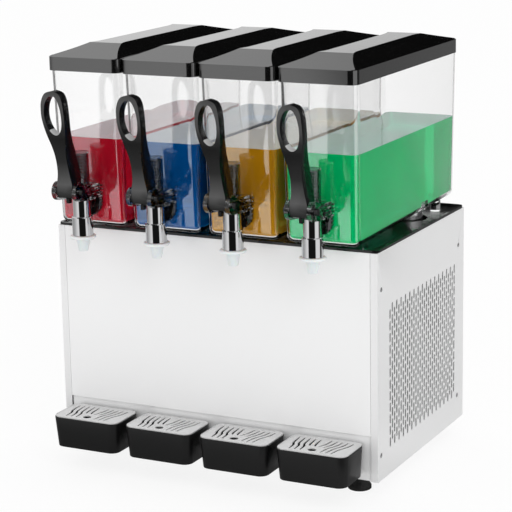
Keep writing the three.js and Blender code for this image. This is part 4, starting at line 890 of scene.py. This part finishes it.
def wavy_slot(x, wave):
    """A slot whose middle line starts `x` from the grid's left edge and runs to the front."""
    halves = [SLOT_HALF * (SLOT_END if point in (wave[0], wave[-1]) else 1) for point in wave]

    def side(way):
        return eased([(-TRAY_HALF + x + dx + way * half, TRAY_BACK - dy)
                      for (dx, dy), half in zip(wave, halves)])
    return plate("slot", side(1) + side(-1)[::-1], "z", GRID_LOW - 1, GRID_TOP + 1)


slots = [wavy_slot(14 + 8.25 * k, LEFT_WAVE if k < 3 else LEFT_SHORT) for k in range(5)]
slots += [wavy_slot(63.6 + 8.2 * k, RIGHT_SHORT if k < 2 else RIGHT_WAVE) for k in range(5)]
clear_selection()
bpy.ops.mesh.primitive_cylinder_add(vertices=32, radius=1, depth=mm(5),
                                    scale=(mm(6.5), mm(5.6), 1),
                                    location=(mm(-2), deep(-56), mm(81)))
cut(grid, *slots, settle(named("finger_hole")),
    slab("rear_crease", (-52, 52.6), (-3.4, -2.3), (GRID_LOW + 0.6, GRID_TOP + 1)),
    slab("left_crease", (-52.2, -51.2), (-60, -2.3), (GRID_LOW + 0.9, GRID_TOP + 1)))
dress_stations(soften(grid, 0.2, 1), grid_steel, "grid_steel", "grid", "tray_grid")

# %% [markdown]
# ## Cabinet sheet
# The cabinet's plain sheets keep their CAD shape. A copy is merged and its bends are rounded, as
# a press brake leaves them, so that each edge catches a thin line of light.

# %% Cabinet sheets
for node, width, material, slot in (("front_panel", 0.5, front_steel, "brushed_steel"),
                                    ("side_panel_left", 0.5, side_steel, "brushed_steel"),
                                    ("rear_panel", 0.5, front_steel, "brushed_steel"),
                                    ("top_deck", 0.6, deck_black, "black_plastic")):
    dress(softened(node, width), material, slot, "cabinet", node)

# %% [markdown]
# ## The right side and its air slots
# Thirty-two columns of short upright slots are punched in a brick pattern, so there are two sets
# of columns. For each set one punch is modelled, two array modifiers repeat it, and the whole
# block goes through the sheet at once.

# %% Right side panel
SCREW_PLACES = [(14, 301.5), (12, 62), (313, 301), (311, 64)]
vented = softened("side_panel_left", 0.5)
vented.name = vented.data.name = "vented_side"
vented.data.transform(Matrix.Scale(-1, 4, (1, 0, 0)))
vented.data.flip_normals()
SLOT_PITCH_Y, SLOT_PITCH_Z, COLUMNS, ROWS = 8.1, 17.0, 32, 12
FIRST_Y, FIRST_Z, SLOT_RADIUS, SLOT_STRAIGHT = 45, 72, 2.5, 4.9
PRESSED, BEYOND = 255.2, 258  # the floor of the dimples and the seam, and a place past the side


def punches(name, first_y, first_z):
    """A block of round-ended punches for every second column."""
    outline = []
    for middle, start in ((first_z + SLOT_STRAIGHT, 0), (first_z - SLOT_STRAIGHT, 1)):
        for k in range(7):
            angle = math.pi * (start + k / 6)
            outline.append((first_y + SLOT_RADIUS * math.cos(angle),
                            middle + SLOT_RADIUS * math.sin(angle)))
    tool = plate(name, outline, "x", 252, BEYOND)
    for count, step in ((COLUMNS // 2, (0, mm(SLOT_PITCH_Y * 2), 0)),
                        (ROWS, (0, 0, mm(SLOT_PITCH_Z)))):
        finish_with(tool, "ARRAY", count=count, use_relative_offset=False,
                    use_constant_offset=True, constant_offset_displace=step)
    return tool


cut(vented, slab("corner_seam", (PRESSED, BEYOND), (1.8, 2.8), (28, 352)),
    *[pin("dimple", "x", 4.9, PRESSED, BEYOND, place, 32) for place in SCREW_PLACES],
    punches("punch_a", FIRST_Y, FIRST_Z),
    punches("punch_b", FIRST_Y + SLOT_PITCH_Y, FIRST_Z + SLOT_PITCH_Z / 2))
dress(shade(vented, FLAT_ANGLE), side_steel, "brushed_steel", "cabinet", "side_panel_right")
print("vented side has", len(vented.data.polygons), "faces")

# %% [markdown]
# ## Screws
# Four screws hold the vented side. Each head sits in a pressed dimple, flush with the sheet.

# %% Screws
HEAD_RADIUS, DRIVE_LONG, DRIVE_HALF, DRIVE_FLOOR, HEAD_LOW, HEAD_TOP = (
    3.6, 2.2, 0.45, 255.4, 254.9, 255.95)
screw_heads = []
for y, z in SCREW_PLACES:
    head = pin("screw", "x", HEAD_RADIUS, HEAD_LOW, HEAD_TOP, (y, z), 24)
    cut(head, *[slab("drive", (DRIVE_FLOOR, BEYOND), (y - along, y + along), (z - up, z + up))
                for along, up in ((DRIVE_LONG, DRIVE_HALF), (DRIVE_HALF, DRIVE_LONG))])
    screw_heads.append(soften(head, 0.4))
for number, head in enumerate(screw_heads, 1):
    head.name = head.data.name = f"screw_{number}"
    dress(head, drum_steel, "brushed_steel", "cabinet")

# %% [markdown]
# ## Feet, drums and inner parts
# The feet are turned rubber. The cooling drums are spun steel cans. Everything behind the air
# slots keeps its CAD shape and gets its own finish.

# %% Feet and drums
FOOT_X, FOOT_FRONT, FOOT_REAR = 212, 36, 300
for node, x, y in (("foot_front_left", -FOOT_X, FOOT_FRONT), ("foot_front_right", FOOT_X, FOOT_FRONT),
                   ("foot_rear_left", -FOOT_X, FOOT_REAR), ("foot_rear_right", FOOT_X, FOOT_REAR)):
    foot = turned(f"{node}_rubber", [
        (16.2, 0.0), (17.0, 0.8), (17.0, 5.0), (16.0, 7.0), (12.2, 11.0), (11.4, 14.0),
        (11.4, 18.0), (13.6, 20.0), (13.6, 24.4), (9.0, 24.7), (9.0, 26.4)], x, y)
    dress(shade(foot), rubber_black, "foot_rubber", "cabinet", node)

drum_can = turned("drum_can", [
    (21.5, 332.7), (23.0, 332.7), (23.0, 349.4), (29.0, 349.4), (29.0, 351.4), (23.0, 351.4),
    (23.0, 374.8), (24.6, 376.4), (24.6, 380.0), (23.0, 381.6), (23.0, 414.6), (22.3, 416.3),
    (20.6, 417.0), (2.2, 417.0), (2.2, 423.4), (1.6, 424.0)], DRUM_X, DRUM_Y, 64)
for number, x in enumerate(STATIONS, 1):
    copy = copy_at(drum_can, x, f"cooling_drum_{number}")
    dress(shade(copy, 30), drum_steel, "drum_steel", "cabinet", "cooling_drums")
bpy.data.objects.remove(drum_can)
LINE_RADIUS, LINE_Y, LINE_Z, RISER_X = 4, 250.8, 339.7, STATIONS[0] + DRUM_X
cooling_line = join(
    pin("cooling_line", "x", LINE_RADIUS, STATIONS[0] + 22, STATIONS[3] + 30, (LINE_Y, LINE_Z), 24),
    pin("riser", "z", LINE_RADIUS, 120, LINE_Z, (RISER_X, LINE_Y), 24),
    pin("feed", "y", LINE_RADIUS, 216.5, LINE_Y, (RISER_X, 122), 24))
dress(shade(cooling_line), drum_steel, "drum_steel", "cabinet", "cooling_drums")

# %% Inner parts
# The aluminium inside is painted dark grey, as painted shade behind the air slots.
INNER_FINISHES = {"condenser": aluminium, "drive_rail": aluminium, "fan": satin_black,
                  "compressor": compressor_paint, "base_pan": side_steel,
                  "power_inlet": satin_black}
for node, material in INNER_FINISHES.items():
    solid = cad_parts[node]
    solid.data.materials.clear()
    solid.data.materials.append(material)

# %% [markdown]
# ## Studio
# The machine stands on a white floor in a white room. The camera and clear plastic see plain
# white. A photographer makes black plastic and chrome readable with white cards and black flags
# round the table, so glossy rays see those: one ramp of greys round the compass for cards that
# stand low, and one for cards that stand high. The floor and the room share them.

# %% Cards and flags
# Each card is a compass bearing from the machine's front, in degrees, and its brightness.
LOW_CARDS = [(-180, 0.45), (-162, 0.8), (-152, 1.0), (-135, 1.0), (-118, 0.5), (-80, 0.42),
             (-60, 0.65), (-44, 0.92), (-34, 1.0), (-28, 1.0), (-24, 0.01), (44, 0.01), (51, 1.0),
             (100, 1.0), (110, 0.03), (138, 0.08), (152, 0.20), (180, 0.45)]
HIGH_CARDS = [(-180, 0.0), (-157, 0.0), (-154, 0.6), (-150, 0.75), (-135, 0.8), (-100, 0.9),
              (-32, 1.0), (-20, 0.2), (44, 0.2), (58, 1.0), (100, 0.6), (140, 0.4), (160, 0.25),
              (168, 0.0), (180, 0.0)]
surround = bpy.data.node_groups.new("surround", "ShaderNodeTree")
surround.interface.new_socket("Direction", in_out="INPUT", socket_type="NodeSocketVector")
for output in ("Low", "High"):
    surround.interface.new_socket(output, in_out="OUTPUT", socket_type="NodeSocketColor")
aim = axes_of(surround, surround.nodes.new("NodeGroupInput").outputs["Direction"])
bearing = math_of(surround, "ARCTAN2", aim["X"], math_of(surround, "MULTIPLY", aim["Y"], -1))
compass = math_of(surround, "MULTIPLY_ADD", bearing, 1 / (2 * math.pi), 0.5)
leave = surround.nodes.new("NodeGroupOutput")
for output, cards in (("Low", LOW_CARDS), ("High", HIGH_CARDS)):
    greys = value_ramp(surround, compass, [(0.5 + turn / 360, value) for turn, value in cards])
    surround.links.new(greys, leave.inputs[output])

# %% Floor
SHOWN_WHITE = 0.86  # the share of plain white that the camera sees; the rest is lit floor
FLOOR_CORNER = (0.45, -0.05, 0)
# The floor's reflection is painted darker near the machine: painted shade, seen only by mirrored
# rays.
NEAR_EDGE, FAR_EDGE, NEAR_LEVEL = 0.5, 0.95, 0.45  # its reflection is darker near the machine
clear_selection()
bpy.ops.mesh.primitive_plane_add(size=40, location=(0, 0, 0))
floor = named("studio_floor")
floor_white = finish("floor_white", (0.9, 0.9, 0.9), 0.9, Specular_IOR_Level=0.0)
tree = floor_white.node_tree
place = point_on(tree)
from_corner = add_node(tree, "VectorMath", {0: place, 1: FLOOR_CORNER}, operation="SUBTRACT")
away = add_node(tree, "VectorMath", {0: place}, operation="LENGTH")
near = add_node(tree, "MapRange", {"Value": away.outputs["Value"], "From Min": NEAR_EDGE,
                                   "From Max": FAR_EDGE, "To Min": NEAR_LEVEL, "To Max": 1.0})
cards = add_node(tree, "Group", {"Direction": from_corner.outputs["Vector"]}, node_tree=surround)
rays = add_node(tree, "LightPath").outputs
in_gloss = math_of(tree, "MULTIPLY", near.outputs["Result"], cards.outputs["Low"])
mirrored = math_of(tree, "GREATER_THAN", rays["Glossy Depth"], rays["Diffuse Depth"])
glow = add_node(tree, "Emission", {"Strength": mix_of(tree, mirrored, 1.0, in_gloss, "FLOAT")})
shown = math_of(tree, "ADD", math_of(tree, "MULTIPLY", rays["Is Camera Ray"], SHOWN_WHITE),
                math_of(tree, "ADD", rays["Is Glossy Ray"], rays["Is Transmission Ray"]))
shown.node.use_clamp = True
lit = tree.nodes["Principled BSDF"].outputs["BSDF"]
either = add_node(tree, "MixShader", {"Fac": shown, 1: lit, 2: glow.outputs["Emission"]})
tree.links.new(either.outputs["Shader"], tree.nodes["Material Output"].inputs["Surface"])
floor.data.materials.append(floor_white)

# %% Room
LOW_EDGE, HIGH_EDGE = 0.128, 0.145  # how steeply a ray rises from low cards to high ones
room = bpy.data.worlds.new("room")
room.use_nodes = True
scene.world = room
tree = room.node_tree
background = tree.nodes["Background"]
background.inputs["Color"].default_value = (1, 1, 1, 1)
direction = point_on(tree, "Generated")
cards = add_node(tree, "Group", {"Direction": direction}, node_tree=surround)
raised = add_node(tree, "MapRange", {"Value": axes_of(tree, direction)["Z"],
                                     "From Min": LOW_EDGE, "From Max": HIGH_EDGE})
both = mix_of(tree, raised.outputs["Result"], cards.outputs["Low"], cards.outputs["High"], "FLOAT")
rays = add_node(tree, "LightPath").outputs
mirrored = math_of(tree, "GREATER_THAN", rays["Is Glossy Ray"], rays["Is Transmission Ray"])
tree.links.new(mix_of(tree, mirrored, 1.0, both, "FLOAT"), background.inputs["Strength"])

# %% Lamps
def softbox(name, place, target, size, power):
    lamp = bpy.data.lights.new(name, "AREA")
    lamp.shape = "RECTANGLE"
    lamp.size, lamp.size_y = size
    lamp.energy = power
    stand = bpy.data.objects.new(name, lamp)
    scene.collection.objects.link(stand)
    stand.location = place
    stand.rotation_euler = (Vector(target) - Vector(place)).to_track_quat("-Z", "Y").to_euler()


softbox("key_softbox", (2.0, -2.0, 2.4), (0, 0, 0.3), (1.6, 1.6), 20)

# %% [markdown]
# ## Colour
# The Standard view shows colours as they are written.

# %% Colour
scene.view_settings.view_transform = "Standard"
